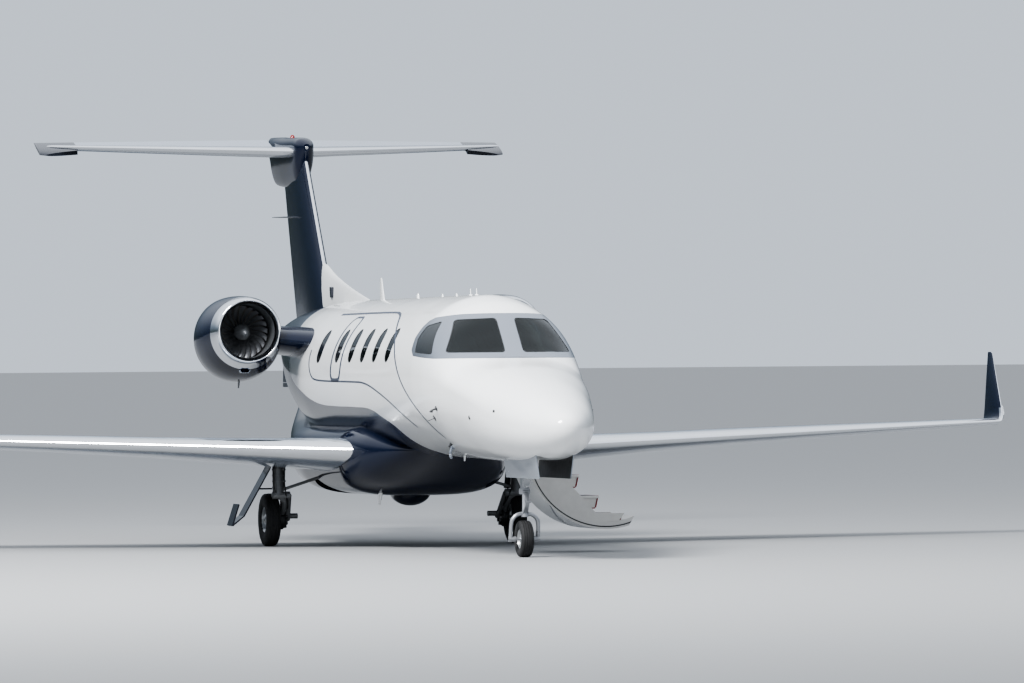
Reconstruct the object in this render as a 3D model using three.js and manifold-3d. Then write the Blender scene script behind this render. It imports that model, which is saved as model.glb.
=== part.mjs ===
// A light twin-engined business jet with a T-tail, parked on its landing gear with the airstair down.
// Millimetres, +Z up, nose towards -Y and the port (left) side towards +X. The origin is on the ground
// under the middle of the length. A station is the distance aft of the nose tip.
import * as THREE from "three";
import { mergeVertices } from "three/addons/utils/BufferGeometryUtils.js";
import Module from "manifold-3d";

const wasm = await Module();
wasm.setup();

// Driving dimensions of the aeroplane
const LENGTH = 15640;
const WHEELBASE = 6480;
const TRACK = 3020;
const NOSE_WHEEL_STATION = 2050;
const MAIN_WHEEL_STATION = NOSE_WHEEL_STATION + WHEELBASE;
const FUSELAGE_RADIUS = 930;
const FUSELAGE_AXIS_Z = 2010;
const WALL = 80;
const GLASS = 18;
const SEAT_GAP = 0.4;
const PANEL_GAP = 6;
const BULKHEAD = 90;
const PIN = { radius: 6, reach: 20, play: 0.4 };
const RING = 24;
const PORT = 1;
const STARBOARD = -1;

const PAINT = { white: 0xf2f3f1, navy: 0x0b1526, metal: 0xc9ccd0, dark: 0x17181a, glass: 0x22303c };
const finish = {
  white: { color: PAINT.white, roughness: 0.25, metalness: 0 },
  navy: { color: PAINT.navy, roughness: 0.15, metalness: 0.1 },
  polished: { color: PAINT.metal, roughness: 0.15, metalness: 1 },
  gear: { color: 0xaeb2b6, roughness: 0.4, metalness: 0.6 },
  rubber: { color: 0x1a1a1b, roughness: 0.85, metalness: 0 },
  titanium: { color: 0x4a4b50, roughness: 0.35, metalness: 0.9 },
  glass: { color: PAINT.glass, roughness: 0.05, metalness: 0, transparent: true, opacity: 0.45 },
  trim: { color: 0x8c8377, roughness: 0.8, metalness: 0 },
  leather: { color: 0xcfc4b2, roughness: 0.6, metalness: 0 },
  black: { color: PAINT.dark, roughness: 0.4, metalness: 0 },
};

const jet = new THREE.Group();

// A point from its offset to port, its station and its height
const at = (x, station, z) => new THREE.Vector3(x, station - LENGTH / 2, z);
const lerp = THREE.MathUtils.lerp;
const radians = THREE.MathUtils.degToRad;

// Solids: closed triangle meshes that can be joined and cut

function solidOf(geometry) {
  const bare = geometry.clone();
  bare.deleteAttribute("normal");
  bare.deleteAttribute("uv");
  const merged = mergeVertices(bare, 1e-3);
  const vertProperties = new Float32Array(merged.attributes.position.array);
  const triVerts = new Uint32Array(merged.index.array);
  let made = new wasm.Manifold(new wasm.Mesh({ numProp: 3, vertProperties, triVerts }));
  if (made.volume() < 0) {
    for (let i = 0; i < triVerts.length; i += 3) {
      [triVerts[i + 1], triVerts[i + 2]] = [triVerts[i + 2], triVerts[i + 1]];
    }
    made = new wasm.Manifold(new wasm.Mesh({ numProp: 3, vertProperties, triVerts }));
  }
  return made;
}

function geometryOf(solid) {
  const mesh = solid.getMesh();
  const position = new Float32Array(mesh.numVert * 3);
  for (let i = 0; i < mesh.numVert; i++) {
    position.set(mesh.vertProperties.subarray(i * mesh.numProp, i * mesh.numProp + 3), i * 3);
  }
  const geometry = new THREE.BufferGeometry();
  geometry.setAttribute("position", new THREE.BufferAttribute(position, 3));
  geometry.setIndex(new THREE.BufferAttribute(new Uint32Array(mesh.triVerts), 1));
  geometry.computeVertexNormals();
  return geometry;
}

function add(name, solid, look) {
  const mesh = new THREE.Mesh(geometryOf(solid), new THREE.MeshStandardMaterial(finish[look]));
  mesh.name = name;
  jet.add(mesh);
  return mesh;
}

const join = (...solids) => solids.reduce((a, b) => a.add(b));
const cut = (body, ...tools) => tools.reduce((a, b) => a.subtract(b), body);
const side = (hand) => (hand === PORT ? "left" : "right");

function mirrored(solid, hand) {
  if (hand === PORT) return solid;
  const geometry = geometryOf(solid).applyMatrix4(new THREE.Matrix4().makeScale(-1, 1, 1));
  return solidOf(geometry);
}

// A skin over a row of rings with equal point counts, closed at both ends by a fan about the ring's middle
function loft(rings) {
  const count = rings[0].length;
  const points = rings.flat();
  const faces = [];
  for (let r = 0; r + 1 < rings.length; r++) {
    for (let i = 0; i < count; i++) {
      const a = r * count + i;
      const b = r * count + ((i + 1) % count);
      const [c, d] = [b + count, a + count];
      const shorter = points[a].distanceTo(points[c]) <= points[b].distanceTo(points[d]);
      faces.push(...(shorter ? [a, b, c, a, c, d] : [a, b, d, b, c, d]));
    }
  }
  for (const [ring, turn] of [[0, 1], [rings.length - 1, -1]]) {
    const middle = new THREE.Vector3();
    for (const p of rings[ring]) middle.addScaledVector(p, 1 / count);
    points.push(middle);
    for (let i = 0; i < count; i++) {
      const a = ring * count + i;
      const b = ring * count + ((i + 1) % count);
      faces.push(points.length - 1, ...(turn > 0 ? [b, a] : [a, b]));
    }
  }
  const geometry = new THREE.BufferGeometry().setFromPoints(points);
  geometry.setIndex(faces);
  return solidOf(geometry);
}

function box(x0, x1, s0, s1, z0, z1) {
  const geometry = new THREE.BoxGeometry(x1 - x0, s1 - s0, z1 - z0);
  geometry.translate((x0 + x1) / 2, (s0 + s1 - LENGTH) / 2, (z0 + z1) / 2);
  return solidOf(geometry);
}

// A round bar between two points, with a radius at each end
function bar(from, to, r0, r1 = r0, segments = 8) {
  const axis = to.clone().sub(from);
  const geometry = new THREE.CylinderGeometry(r1, r0, axis.length(), segments);
  const upright = new THREE.Vector3(0, 1, 0);
  geometry.applyQuaternion(new THREE.Quaternion().setFromUnitVectors(upright, axis.clone().normalize()));
  geometry.translate(...from.clone().add(to).multiplyScalar(0.5).toArray());
  return solidOf(geometry);
}

// An outline drawn in one view and pushed through the aeroplane from one depth to another.
// "front" outlines are (x, z) and run along Y, "side" ones are (station, z) and run along X, and "plan"
// ones are (x, station) and run along Z.
function prism(view, outline, from, to, curveSegments = 4) {
  const drawn = outline instanceof THREE.Shape;
  const shape = drawn ? outline : new THREE.Shape(outline.map((p) => new THREE.Vector2(...p)));
  const depth = to - from;
  const geometry = new THREE.ExtrudeGeometry(shape, { depth, bevelEnabled: false, curveSegments });
  geometry.translate(0, 0, from);
  const turned = new THREE.Matrix4();
  if (view === "front") turned.set(1, 0, 0, 0, 0, 0, 1, -LENGTH / 2, 0, 1, 0, 0, 0, 0, 0, 1);
  if (view === "plan") turned.set(1, 0, 0, 0, 0, 1, 0, -LENGTH / 2, 0, 0, 1, 0, 0, 0, 0, 1);
  if (view === "side") turned.set(0, 0, 1, 0, 1, 0, 0, -LENGTH / 2, 0, 1, 0, 0, 0, 0, 0, 1);
  return solidOf(geometry.applyMatrix4(turned));
}

function roundedShape(corners, radius) {
  const shape = new THREE.Shape();
  const count = corners.length;
  corners.forEach((corner, i) => {
    const here = new THREE.Vector2(...corner);
    const before = new THREE.Vector2(...corners[(i + count - 1) % count]);
    const after = new THREE.Vector2(...corners[(i + 1) % count]);
    const enter = here.clone().add(before.sub(here).setLength(radius));
    const leave = here.clone().add(after.sub(here).setLength(radius));
    if (i === 0) shape.moveTo(enter.x, enter.y);
    else shape.lineTo(enter.x, enter.y);
    shape.quadraticCurveTo(here.x, here.y, leave.x, leave.y);
  });
  shape.closePath();
  return shape;
}

// One ring of an oval body: "wide" is the height of its widest place, "round" is the power of the
// outline, where 1 is an ellipse and less is squarer, and "toe" moves it sideways. Inset moves the ring
// inwards.
function ovalRing(row, inset = 0, count = RING, offset = 0) {
  const { station, top, bottom, half, wide, round = 1, toe = 0 } = row;
  const ring = [];
  for (let i = 0; i < count; i++) {
    const angle = ((i + 0.5) * 2 * Math.PI) / count;
    const [c, s] = [Math.cos(angle), Math.sin(angle)];
    const reach = s > 0 ? top - wide - inset : wide - bottom - inset;
    const x = (half - inset) * Math.sign(c) * Math.abs(c) ** round;
    ring.push(at(offset + toe + x, station, wide + reach * Math.sign(s) * Math.abs(s) ** round));
  }
  return ring;
}

const ovalBody = (rows, inset = 0, count = RING, offset = 0) =>
  loft(rows.map((row) => ovalRing(row, inset, count, offset)));

// One ring of a wing or fin: a symmetrical section with a blunt trailing edge. "lead" is the station of
// its leading edge and "tilt" turns its upper side, 0 for a wing and 90 for an upright fin.
const SECTION_STEPS = 7;
const BLUNT = 4;

function wingRing({ x, z, lead, chord, thick, tilt = 0, drop = 0 }, grow = 0) {
  const up = new THREE.Vector3(-Math.sin(radians(tilt)), 0, Math.cos(radians(tilt)));
  const point = (u, hand) => {
    const shape = 0.2969 * Math.sqrt(u) - 0.126 * u - 0.3516 * u ** 2 + 0.2843 * u ** 3 - 0.1036 * u ** 4;
    const half = 5 * thick * chord * shape + (BLUNT / 2) * u + grow;
    const along = lead - grow + u * (chord + 2 * grow);
    return at(x, along, z - drop * u).addScaledVector(up, hand * half);
  };
  const share = (i) => (1 + Math.cos((i * Math.PI) / SECTION_STEPS)) / 2;
  const ring = [];
  for (let i = 0; i <= SECTION_STEPS; i++) ring.push(point(share(i), 1));
  for (let i = SECTION_STEPS - (grow > 0 ? 0 : 1); i >= 0; i--) ring.push(point(share(i), -1));
  return ring;
}

const wingBody = (rows, grow = 0) => loft(rows.map((row) => wingRing(row, grow)));

// A tool that takes a hinged surface out of a wing: a barrel about the hinge line and all that is
// behind it. "spare" makes it larger all round, for the part that stays.
function hingeTool({ from, to, radius }, spare) {
  const along = to.clone().sub(from);
  const length = along.length();
  along.normalize();
  const over = along.clone().cross(new THREE.Vector3(0, 1, 0)).normalize();
  const aft = over.clone().cross(along);
  const turn = new THREE.Matrix4().makeBasis(aft, over, along).setPosition(from);
  const slab = new THREE.BoxGeometry(3000, 1000, length + 2 * spare);
  slab.translate(1500, 0, length / 2);
  const barrel = new THREE.CylinderGeometry(radius + spare, radius + spare, length + 2 * spare, 16);
  barrel.rotateX(Math.PI / 2);
  barrel.translate(0, 0, length / 2);
  return join(solidOf(slab.applyMatrix4(turn)), solidOf(barrel.applyMatrix4(turn)));
}

// Splits a body at a hinge line into the surface that moves, which gets a pin at each end that has a
// neighbour, and the rest, which gets the holes for the pins
function splitAtHinge(body, hinge) {
  const along = hinge.to.clone().sub(hinge.from).normalize();
  const pins = [];
  const holes = [];
  const ends = hinge.freeTip ? [[hinge.from, -1]] : [[hinge.from, -1], [hinge.to, 1]];
  for (const [end, out] of ends) {
    const inner = end.clone().addScaledVector(along, -out * 20);
    pins.push(bar(inner, end.clone().addScaledVector(along, out * (PANEL_GAP + PIN.reach)), PIN.radius));
    const bottom = end.clone().addScaledVector(along, out * (PANEL_GAP + PIN.reach + 1));
    holes.push(bar(end, bottom, PIN.radius + PIN.play, PIN.radius + PIN.play, 16));
  }
  const surface = join(body.intersect(hingeTool(hinge, 0)), ...pins);
  const rest = cut(body, hingeTool(hinge, PANEL_GAP), ...holes);
  return { surface, rest };
}

function turned(solid, from, to, angle) {
  const axis = to.clone().sub(from).normalize();
  const turn = new THREE.Matrix4().makeRotationAxis(axis, angle);
  const place = new THREE.Matrix4().makeTranslation(...from.toArray());
  const back = new THREE.Matrix4().makeTranslation(...from.clone().negate().toArray());
  return solidOf(geometryOf(solid).applyMatrix4(place.multiply(turn).multiply(back)));
}

// Fuselage: its outside by station
const FUSELAGE = [
  { station: 0, top: 1490, bottom: 1410, half: 40, wide: 1450, round: 1 },
  { station: 40, top: 1555, bottom: 1335, half: 115, wide: 1448, round: 1 },
  { station: 150, top: 1628, bottom: 1245, half: 210, wide: 1446, round: 1 },
  { station: 350, top: 1712, bottom: 1165, half: 318, wide: 1450, round: 0.97 },
  { station: 700, top: 1832, bottom: 1105, half: 460, wide: 1475, round: 0.94 },
  { station: 1200, top: 1975, bottom: 1072, half: 583, wide: 1560, round: 0.92 },
  { station: 1800, top: 2115, bottom: 1062, half: 703, wide: 1730, round: 0.93 },
  { station: 2340, top: 2225, bottom: 1062, half: 788, wide: 1855, round: 0.95 },
  { station: 2640, top: 2478, bottom: 1064, half: 836, wide: 1905, round: 0.96 },
  { station: 2940, top: 2725, bottom: 1067, half: 875, wide: 1950, round: 0.96 },
  { station: 3250, top: 2868, bottom: 1070, half: 904, wide: 1985, round: 0.97 },
  { station: 3650, top: 2937, bottom: 1076, half: 924, wide: 2005, round: 0.99 },
  { station: 4300, top: 2940, bottom: 1080, half: 930, wide: 2010, round: 1 },
  { station: 9200, top: 2940, bottom: 1080, half: 930, wide: 2010, round: 1 },
  { station: 10000, top: 2938, bottom: 1165, half: 898, wide: 2050, round: 1 },
  { station: 11000, top: 2915, bottom: 1370, half: 775, wide: 2140, round: 1 },
  { station: 12000, top: 2868, bottom: 1660, half: 595, wide: 2265, round: 1 },
  { station: 13000, top: 2800, bottom: 1960, half: 405, wide: 2390, round: 1 },
  { station: 14000, top: 2700, bottom: 2240, half: 215, wide: 2475, round: 1 },
  { station: 14650, top: 2612, bottom: 2400, half: 95, wide: 2506, round: 1 },
];

function fuselageRow(station) {
  const after = Math.max(1, FUSELAGE.findIndex((row) => row.station >= station));
  const [a, b] = [FUSELAGE[after - 1], FUSELAGE[after]];
  const t = (station - a.station) / (b.station - a.station);
  const row = { station };
  for (const key of ["top", "bottom", "half", "wide", "round"]) row[key] = lerp(a[key], b[key], t);
  return row;
}

function fuselageBody(from, to, inset = 0) {
  const between = FUSELAGE.filter((row) => row.station > from + 1 && row.station < to - 1);
  const rows = [fuselageRow(from), ...between, fuselageRow(to)];
  return ovalBody(rows, inset);
}

const NOSE_END = 2200;
const COCKPIT_END = 4600;
const CABIN_END = 9200;
const TAIL_END = 14650;
const wholeOutside = fuselageBody(0, TAIL_END, -SEAT_GAP);
const cabinInside = fuselageBody(NOSE_END + 60, CABIN_END + 200, WALL);
const cabinLining = fuselageBody(NOSE_END + 60 + SEAT_GAP, CABIN_END - 20, WALL + SEAT_GAP);

// Nose: solid, with the bay that the nose gear folds forwards into
const BAY = { half: 190, from: 620, to: 2140, roof: 1400 };

function nose() {
  const bay = box(-BAY.half, BAY.half, BAY.from, BAY.to, 0, BAY.roof);
  return add("nose_section", cut(fuselageBody(0, NOSE_END - SEAT_GAP), bay), "white");
}

// Glass of the cockpit, drawn for the port side: two windscreens seen from ahead and two side panes
const WINDSCREEN = [[100, 2280], [725, 2280], [535, 2655], [100, 2672]];
const SIDE_PANE = [[2975, 2262], [3560, 2285], [3655, 2440], [3590, 2590], [3250, 2640]];
const PANE_CORNER = 45;
// Between which stations the windscreens are cut, and between which offsets the holes of a side wall
const SCREEN_CUT = [2100, 3330];
const SIDE_CUT = [300, 1200];
const pane = (outline, grow) => roundedShape(grown(outline, grow), PANE_CORNER);
const windscreenHole = (grow) => prism("front", pane(WINDSCREEN, grow), ...SCREEN_CUT);
const sidePaneHole = (grow) => prism("side", pane(SIDE_PANE, grow), ...SIDE_CUT);

// An outline moved outwards by a small amount, away from its middle
function grown(outline, amount) {
  const middle = new THREE.Vector2();
  outline.forEach((p) => middle.addScaledVector(new THREE.Vector2(...p), 1 / outline.length));
  return outline.map((p) => {
    const arm = new THREE.Vector2(...p).sub(middle);
    return middle.clone().add(arm.setLength(arm.length() + amount)).toArray();
  });
}

// Cabin windows: stations of their middles, and the upright oval that each is
const WINDOW_STATIONS = [4875, 5520, 6150, 6790, 7490, 8500];
const WINDOW = { half: 130, low: 2180, high: 2575 };
// The inner panes of a side's windows, as one strip of glass behind the openings
const GLAZING = { edge: 60, thick: 12 };

// Emergency exit hatch round the fifth window of the starboard side
const HATCH = { outline: [[7265, 2000], [7715, 2000], [7715, 2705], [7265, 2705]], corner: 125 };

function windowHole(station) {
  const { half, low, high } = WINDOW;
  const outline = new THREE.Shape();
  outline.moveTo(station - half, low + half);
  outline.absarc(station, low + half, half, Math.PI, 2 * Math.PI);
  outline.absarc(station, high - half, half, 0, Math.PI);
  return prism("side", outline, ...SIDE_CUT, 3);
}

// Airstair: the doorway in the port wall, and the door that hinges down from its sill
const DOOR = { from: 3745, to: 4485, sill: 1200, head: 2680, inner: 150, outer: 1100 };
const DOOR_HINGE = { x: 452, z: 1190, barrel: 16 };
const DOOR_OPEN = radians(119);
const hingePoint = (station) => at(DOOR_HINGE.x, station, DOOR_HINGE.z);

function cockpit() {
  const shell = cut(fuselageBody(NOSE_END, COCKPIT_END), cabinInside);
  const [ahead, aft] = [DOOR.from - PANEL_GAP, DOOR.to + PANEL_GAP];
  const holes = [box(DOOR.inner, DOOR.outer, ahead, aft, DOOR.sill - PANEL_GAP, DOOR.head + PANEL_GAP)];
  for (const hand of [PORT, STARBOARD]) {
    holes.push(mirrored(windscreenHole(0), hand), mirrored(sidePaneHole(0), hand));
  }
  const reach = PANEL_GAP + PIN.reach;
  const lugs = [[DOOR.from, -1], [DOOR.to, 1]].map(([station, out]) => {
    const ends = [station + out * PANEL_GAP, station + out * (reach + PANEL_GAP)].sort((a, b) => a - b);
    return box(DOOR_HINGE.x - 40, DOOR_HINGE.x + 16, ...ends, DOOR_HINGE.z - 18, DOOR_HINGE.z + 16);
  });
  const clear = DOOR_HINGE.barrel + PANEL_GAP;
  const groove = bar(hingePoint(DOOR.from - PANEL_GAP), hingePoint(DOOR.to + PANEL_GAP), clear, clear, 24);
  const play = PIN.radius + PIN.play;
  const pinHole = bar(hingePoint(DOOR.from - reach - 2), hingePoint(DOOR.to + reach + 2), play, play, 16);
  add("cockpit_shell", cut(join(cut(shell, ...holes, groove), ...lugs), pinHole), "white");
  const behindGlass = fuselageBody(NOSE_END - 50, COCKPIT_END + 50, GLASS);
  const skin = cut(fuselageBody(NOSE_END, COCKPIT_END), behindGlass);
  const screen = skin.intersect(windscreenHole(-SEAT_GAP));
  const sidePane = skin.intersect(sidePaneHole(-SEAT_GAP));
  for (const hand of [PORT, STARBOARD]) {
    add(`windscreen_${side(hand)}`, mirrored(screen, hand), "glass");
    add(`cockpit_side_window_${side(hand)}`, mirrored(sidePane, hand), "glass");
  }
}

function cabin() {
  const shell = cut(fuselageBody(COCKPIT_END + SEAT_GAP, CABIN_END - SEAT_GAP), cabinInside);
  const holes = WINDOW_STATIONS.flatMap((s) => [windowHole(s), mirrored(windowHole(s), STARBOARD)]);
  const glazed = cut(shell, ...holes);
  const hatch = (spare) => {
    const outline = roundedShape(grown(HATCH.outline, spare), HATCH.corner);
    return mirrored(prism("side", outline, ...SIDE_CUT), STARBOARD);
  };
  add("cabin_shell", cut(glazed, hatch(SEAT_GAP)), "white");
  add("exit_hatch", glazed.intersect(hatch(0)), "white");
  const [first, last] = [WINDOW_STATIONS[0], WINDOW_STATIONS.at(-1)];
  const { edge, thick } = GLAZING;
  const strip = box(...SIDE_CUT, first - 3 * edge, last + 3 * edge, WINDOW.low - edge, WINDOW.high + edge);
  const lining = cut(cabinLining, fuselageBody(NOSE_END, CABIN_END, WALL + thick));
  const glazing = lining.intersect(strip);
  for (const hand of [PORT, STARBOARD]) add(`cabin_glazing_${side(hand)}`, mirrored(glazing, hand), "glass");
}

// Tail cone: closed ahead by the pressure bulkhead, with the equipment bay open at a small rear vent
function tailCone() {
  const bay = fuselageBody(CABIN_END + BULKHEAD, 13600, 60);
  const vent = bar(at(0, 13400, 2430), at(0, TAIL_END + 50, 2506), 30);
  add("tail_cone", cut(fuselageBody(CABIN_END, TAIL_END), bay, vent), "navy");
}

// Cabin floor and furniture. The instrument panel has a pedestal under it and a shield over it.
const FLOOR = { top: 1360, thick: 40, from: 2300, to: 9180, half: 545 };
const DOOR_ROOM = 262;
const PANEL = { half: 520, from: 2420, to: 2560, low: 1800, top: 2215 };
const PEDESTAL = { half: 150, to: 2700, top: 1850 };
const SHIELD = { half: 600, from: 2330, to: 2620, top: 2240 };
const SEAT_TRACK = { half: 60, high: 30 };

function interior() {
  const slab = box(-FLOOR.half, FLOOR.half, FLOOR.from, FLOOR.to, FLOOR.top - FLOOR.thick, FLOOR.top);
  const threshold = box(DOOR_ROOM, 700, DOOR.from - 30, DOOR.to + 30, 0, 2000);
  add("cabin_floor", cut(slab, threshold).intersect(cabinLining), "trim");
  const base = FLOOR.top + SEAT_GAP;
  const panel = join(
    box(-PANEL.half, PANEL.half, PANEL.from, PANEL.to, PANEL.low, PANEL.top),
    box(-PEDESTAL.half, PEDESTAL.half, PANEL.from, PEDESTAL.to, base, PEDESTAL.top),
    box(-SHIELD.half, SHIELD.half, SHIELD.from, SHIELD.to, PANEL.top - 5, SHIELD.top),
  );
  add("instrument_panel", panel.intersect(cabinLining), "black");
  const row = CABIN_SEATS.map((place) => seat(place, base));
  const [first, last] = [CABIN_SEATS[0], CABIN_SEATS.at(-1)];
  const { half, high } = SEAT_TRACK;
  const track = box(first.x - half, first.x + half, first.station, last.station, base, base + high);
  for (const hand of [PORT, STARBOARD]) {
    add(`cockpit_seat_${side(hand)}`, mirrored(seat(COCKPIT_SEAT, base), hand), "leather");
    add(`cabin_seats_${side(hand)}`, mirrored(join(track, ...row), hand), "leather");
  }
}

// A seat on its pedestal. "faces" is -1 towards the nose and 1 towards the tail.
const COCKPIT_SEAT = { x: 300, station: 3040, width: 420, faces: -1 };
const CABIN_SEATS = [
  { x: 395, station: 5350, width: 440, faces: 1 },
  { x: 395, station: 6500, width: 440, faces: -1 },
  { x: 395, station: 7400, width: 440, faces: -1 },
];

function seat({ x, station, width, faces }, base) {
  const half = width / 2;
  const back = station - faces * 230;
  return join(
    box(x - half * 0.6, x + half * 0.6, station - 180, station + 180, base, base + 330),
    box(x - half, x + half, station - 260, station + 260, base + 300, base + 440),
    box(x - half * 0.9, x + half * 0.9, back - 60, back + 60, base + 400, base + 960),
  );
}

// Airstair: built shut as the piece of wall that fills the doorway, then swung down to its stop
const STAIR = { from: DOOR.from + 50, to: DOOR.to - 50, cheek: 45, tread: 30 };
const TREADS = [
  { from: 620, to: 880, top: 1100 },
  { from: 860, to: 1100, top: 880 },
  { from: 1080, to: 1330, top: 640 },
  { from: 1300, to: 1600, top: 410 },
];

function airstair() {
  const wall = cut(fuselageBody(DOOR.from, DOOR.to), cabinInside);
  const opening = box(DOOR.inner, DOOR.outer, DOOR.from, DOOR.to, DOOR.sill, DOOR.head);
  const barrel = bar(hingePoint(DOOR.from), hingePoint(DOOR.to), DOOR_HINGE.barrel, DOOR_HINGE.barrel, 20);
  const reach = PANEL_GAP + PIN.reach;
  const pin = bar(hingePoint(DOOR.from - reach), hingePoint(DOOR.to + reach), PIN.radius);
  const shut = join(wall.intersect(opening), barrel, pin);
  add("airstair_door", turned(shut, hingePoint(DOOR.from), hingePoint(DOOR.to), DOOR_OPEN), "white");

  const hinge = new THREE.Vector2(DOOR_HINGE.x, DOOR_HINGE.z);
  const middle = new THREE.Vector2(0, FUSELAGE_AXIS_Z).rotateAround(hinge, -DOOR_OPEN);
  const inner = FUSELAGE_RADIUS - WALL - SEAT_GAP;
  const cheek = new THREE.Shape();
  cheek.absarc(middle.x, middle.y, inner - 1, radians(178), radians(281), false);
  cheek.lineTo(1620, 440);
  cheek.lineTo(1290, 440);
  cheek.lineTo(600, 1190);
  cheek.closePath();
  const plate = (s) => prism("front", cheek, s, s + STAIR.cheek, 10);
  const tread = ({ from, to, top }) => box(from, to, STAIR.from, STAIR.to, top - STAIR.tread, top);
  const lining = turned(cabinLining, hingePoint(DOOR.from), hingePoint(DOOR.to), DOOR_OPEN);
  const flight = join(plate(STAIR.from), plate(STAIR.to - STAIR.cheek), ...TREADS.map(tread));
  add("airstair_steps", flight.intersect(lining), "white");
}

// Belly fairing: it carries the wing through under the cabin, and holds the wells of the main wheels
const FAIRING = [
  { station: 5650, top: 1180, bottom: 1090, half: 300, wide: 1160 },
  { station: 6000, top: 1300, bottom: 905, half: 640, wide: 1160, round: 0.8 },
  { station: 6500, top: 1420, bottom: 690, half: 900, wide: 1140, round: 0.62 },
  { station: 7000, top: 1480, bottom: 612, half: 1000, wide: 1120, round: 0.58 },
  { station: 8950, top: 1480, bottom: 604, half: 1000, wide: 1120, round: 0.58 },
  { station: 9660, top: 1480, bottom: 640, half: 960, wide: 1140, round: 0.6 },
  { station: 10860, top: 1560, bottom: 860, half: 740, wide: 1250, round: 0.72 },
  { station: 11900, top: 1750, bottom: 1290, half: 430, wide: 1560, round: 0.85 },
  { station: 12600, top: 1960, bottom: 1780, half: 160, wide: 1900 },
];
const BLISTER = [
  { station: 7150, top: 700, bottom: 600, half: 60, wide: 640 },
  { station: 7350, top: 700, bottom: 515, half: 190, wide: 640 },
  { station: 7600, top: 700, bottom: 480, half: 225, wide: 640 },
  { station: 7900, top: 700, bottom: 520, half: 190, wide: 640 },
  { station: 8200, top: 700, bottom: 600, half: 60, wide: 640 },
];
const fairingGrown = ovalBody(FAIRING, -SEAT_GAP);
const WHEEL_WELL = { x: 600, radius: 350, roof: 860 };

function bellyFairing() {
  const wells = [PORT, STARBOARD].map((hand) => {
    const x = hand * WHEEL_WELL.x;
    const { radius, roof } = WHEEL_WELL;
    return bar(at(x, MAIN_WHEEL_STATION, 0), at(x, MAIN_WHEEL_STATION, roof), radius, radius, 20);
  });
  const solid = cut(join(ovalBody(FAIRING), ovalBody(BLISTER, 0, 12)), wholeOutside, ...wells);
  add("belly_fairing", solid, "navy");
}

// Wing: its port half, by offset from the centre line
const LEAD_SWEEP = 0.3847;
const LEAD_RISE = 0.034;
const leadStation = (x) => 6610 + (x - 1000) * LEAD_SWEEP;
const leadHeight = (x) => 1161 + (x - 1000) * LEAD_RISE;
// "drop" is how far the trailing edge lies below the leading edge
const WING = [
  { x: 600, chord: 2760, thick: 0.15, drop: 205 },
  { x: 1000, chord: 2490, thick: 0.148, drop: 190 },
  { x: 2000, chord: 2180, thick: 0.135, drop: 146 },
  { x: 3000, chord: 1870, thick: 0.126, drop: 102 },
  { x: 4200, chord: 1604, thick: 0.124, drop: 50 },
  { x: 5300, chord: 1360, thick: 0.122, drop: 41 },
  { x: 7860, chord: 787, thick: 0.115, drop: 24 },
].map((row) => ({ ...row, lead: leadStation(row.x), z: leadHeight(row.x) }));

function wingPoint(x, share) {
  const after = WING.findIndex((row) => row.x >= x);
  const [a, b] = [WING[after - 1], WING[after]];
  const mix = (key) => lerp(a[key], b[key], (x - a.x) / (b.x - a.x));
  return at(x, leadStation(x) + share * mix("chord"), leadHeight(x) - share * mix("drop"));
}

const LEADING_EDGE_SHARE = 0.07;
const FLAP = { from: wingPoint(1120, 0.76), to: wingPoint(5240, 0.76), radius: 96 };
const AILERON = { from: wingPoint(5360, 0.77), to: wingPoint(7520, 0.77), radius: 42 };

// All that lies ahead of a line along the wing, at a share of its chord
const WING_ROOM = { inner: 500, outer: 9000, front: 5000, high: 3000 };

function ahead(share, spare) {
  const { inner, outer, front, high } = WING_ROOM;
  const edge = WING.map((row) => [row.x, row.lead + share * row.chord - spare]);
  const [root, tip] = [edge[0][1], edge.at(-1)[1]];
  const outline = [[inner, root], ...edge, [outer, tip], [outer, front], [inner, front]];
  return prism("plan", outline, 0, high);
}

function wing(hand) {
  const whole = cut(wingBody(WING), fairingGrown);
  const edge = whole.intersect(ahead(LEADING_EDGE_SHARE, SEAT_GAP));
  const legSlot = box(LEG_SLOT.inner, LEG_SLOT.outer, LEG_SLOT.from, LEG_SLOT.to, 0, LEG_SLOT.roof);
  let rest = cut(whole, ahead(LEADING_EDGE_SHARE, 0), legSlot);
  const name = side(hand);
  for (const [part, hinge] of [["flap", FLAP], ["aileron", AILERON]]) {
    const split = splitAtHinge(rest, hinge);
    rest = split.rest;
    add(`${part}_${name}`, mirrored(split.surface, hand), "white");
  }
  add(`wing_${name}`, mirrored(rest, hand), "navy");
  add(`wing_leading_edge_${name}`, mirrored(edge, hand), "polished");
  const tip = wingBody(WINGLET);
  add(`winglet_${name}`, mirrored(tip, hand), "navy");
}

const WINGLET = [
  { x: 7860 + SEAT_GAP, z: 1394, lead: 9249, chord: 787, thick: 0.115, tilt: 0, drop: 24 },
  { x: 7900, z: 1408, lead: 9262, chord: 780, thick: 0.105, tilt: 40, drop: 20 },
  { x: 7921, z: 1450, lead: 9285, chord: 765, thick: 0.095, tilt: 75 },
  { x: 7927, z: 1560, lead: 9345, chord: 690, thick: 0.085, tilt: 87 },
  { x: 7938, z: 2235, lead: 9735, chord: 185, thick: 0.08, tilt: 88 },
  { x: 7939, z: 2252, lead: 9775, chord: 130, thick: 0.05, tilt: 88 },
];

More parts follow.
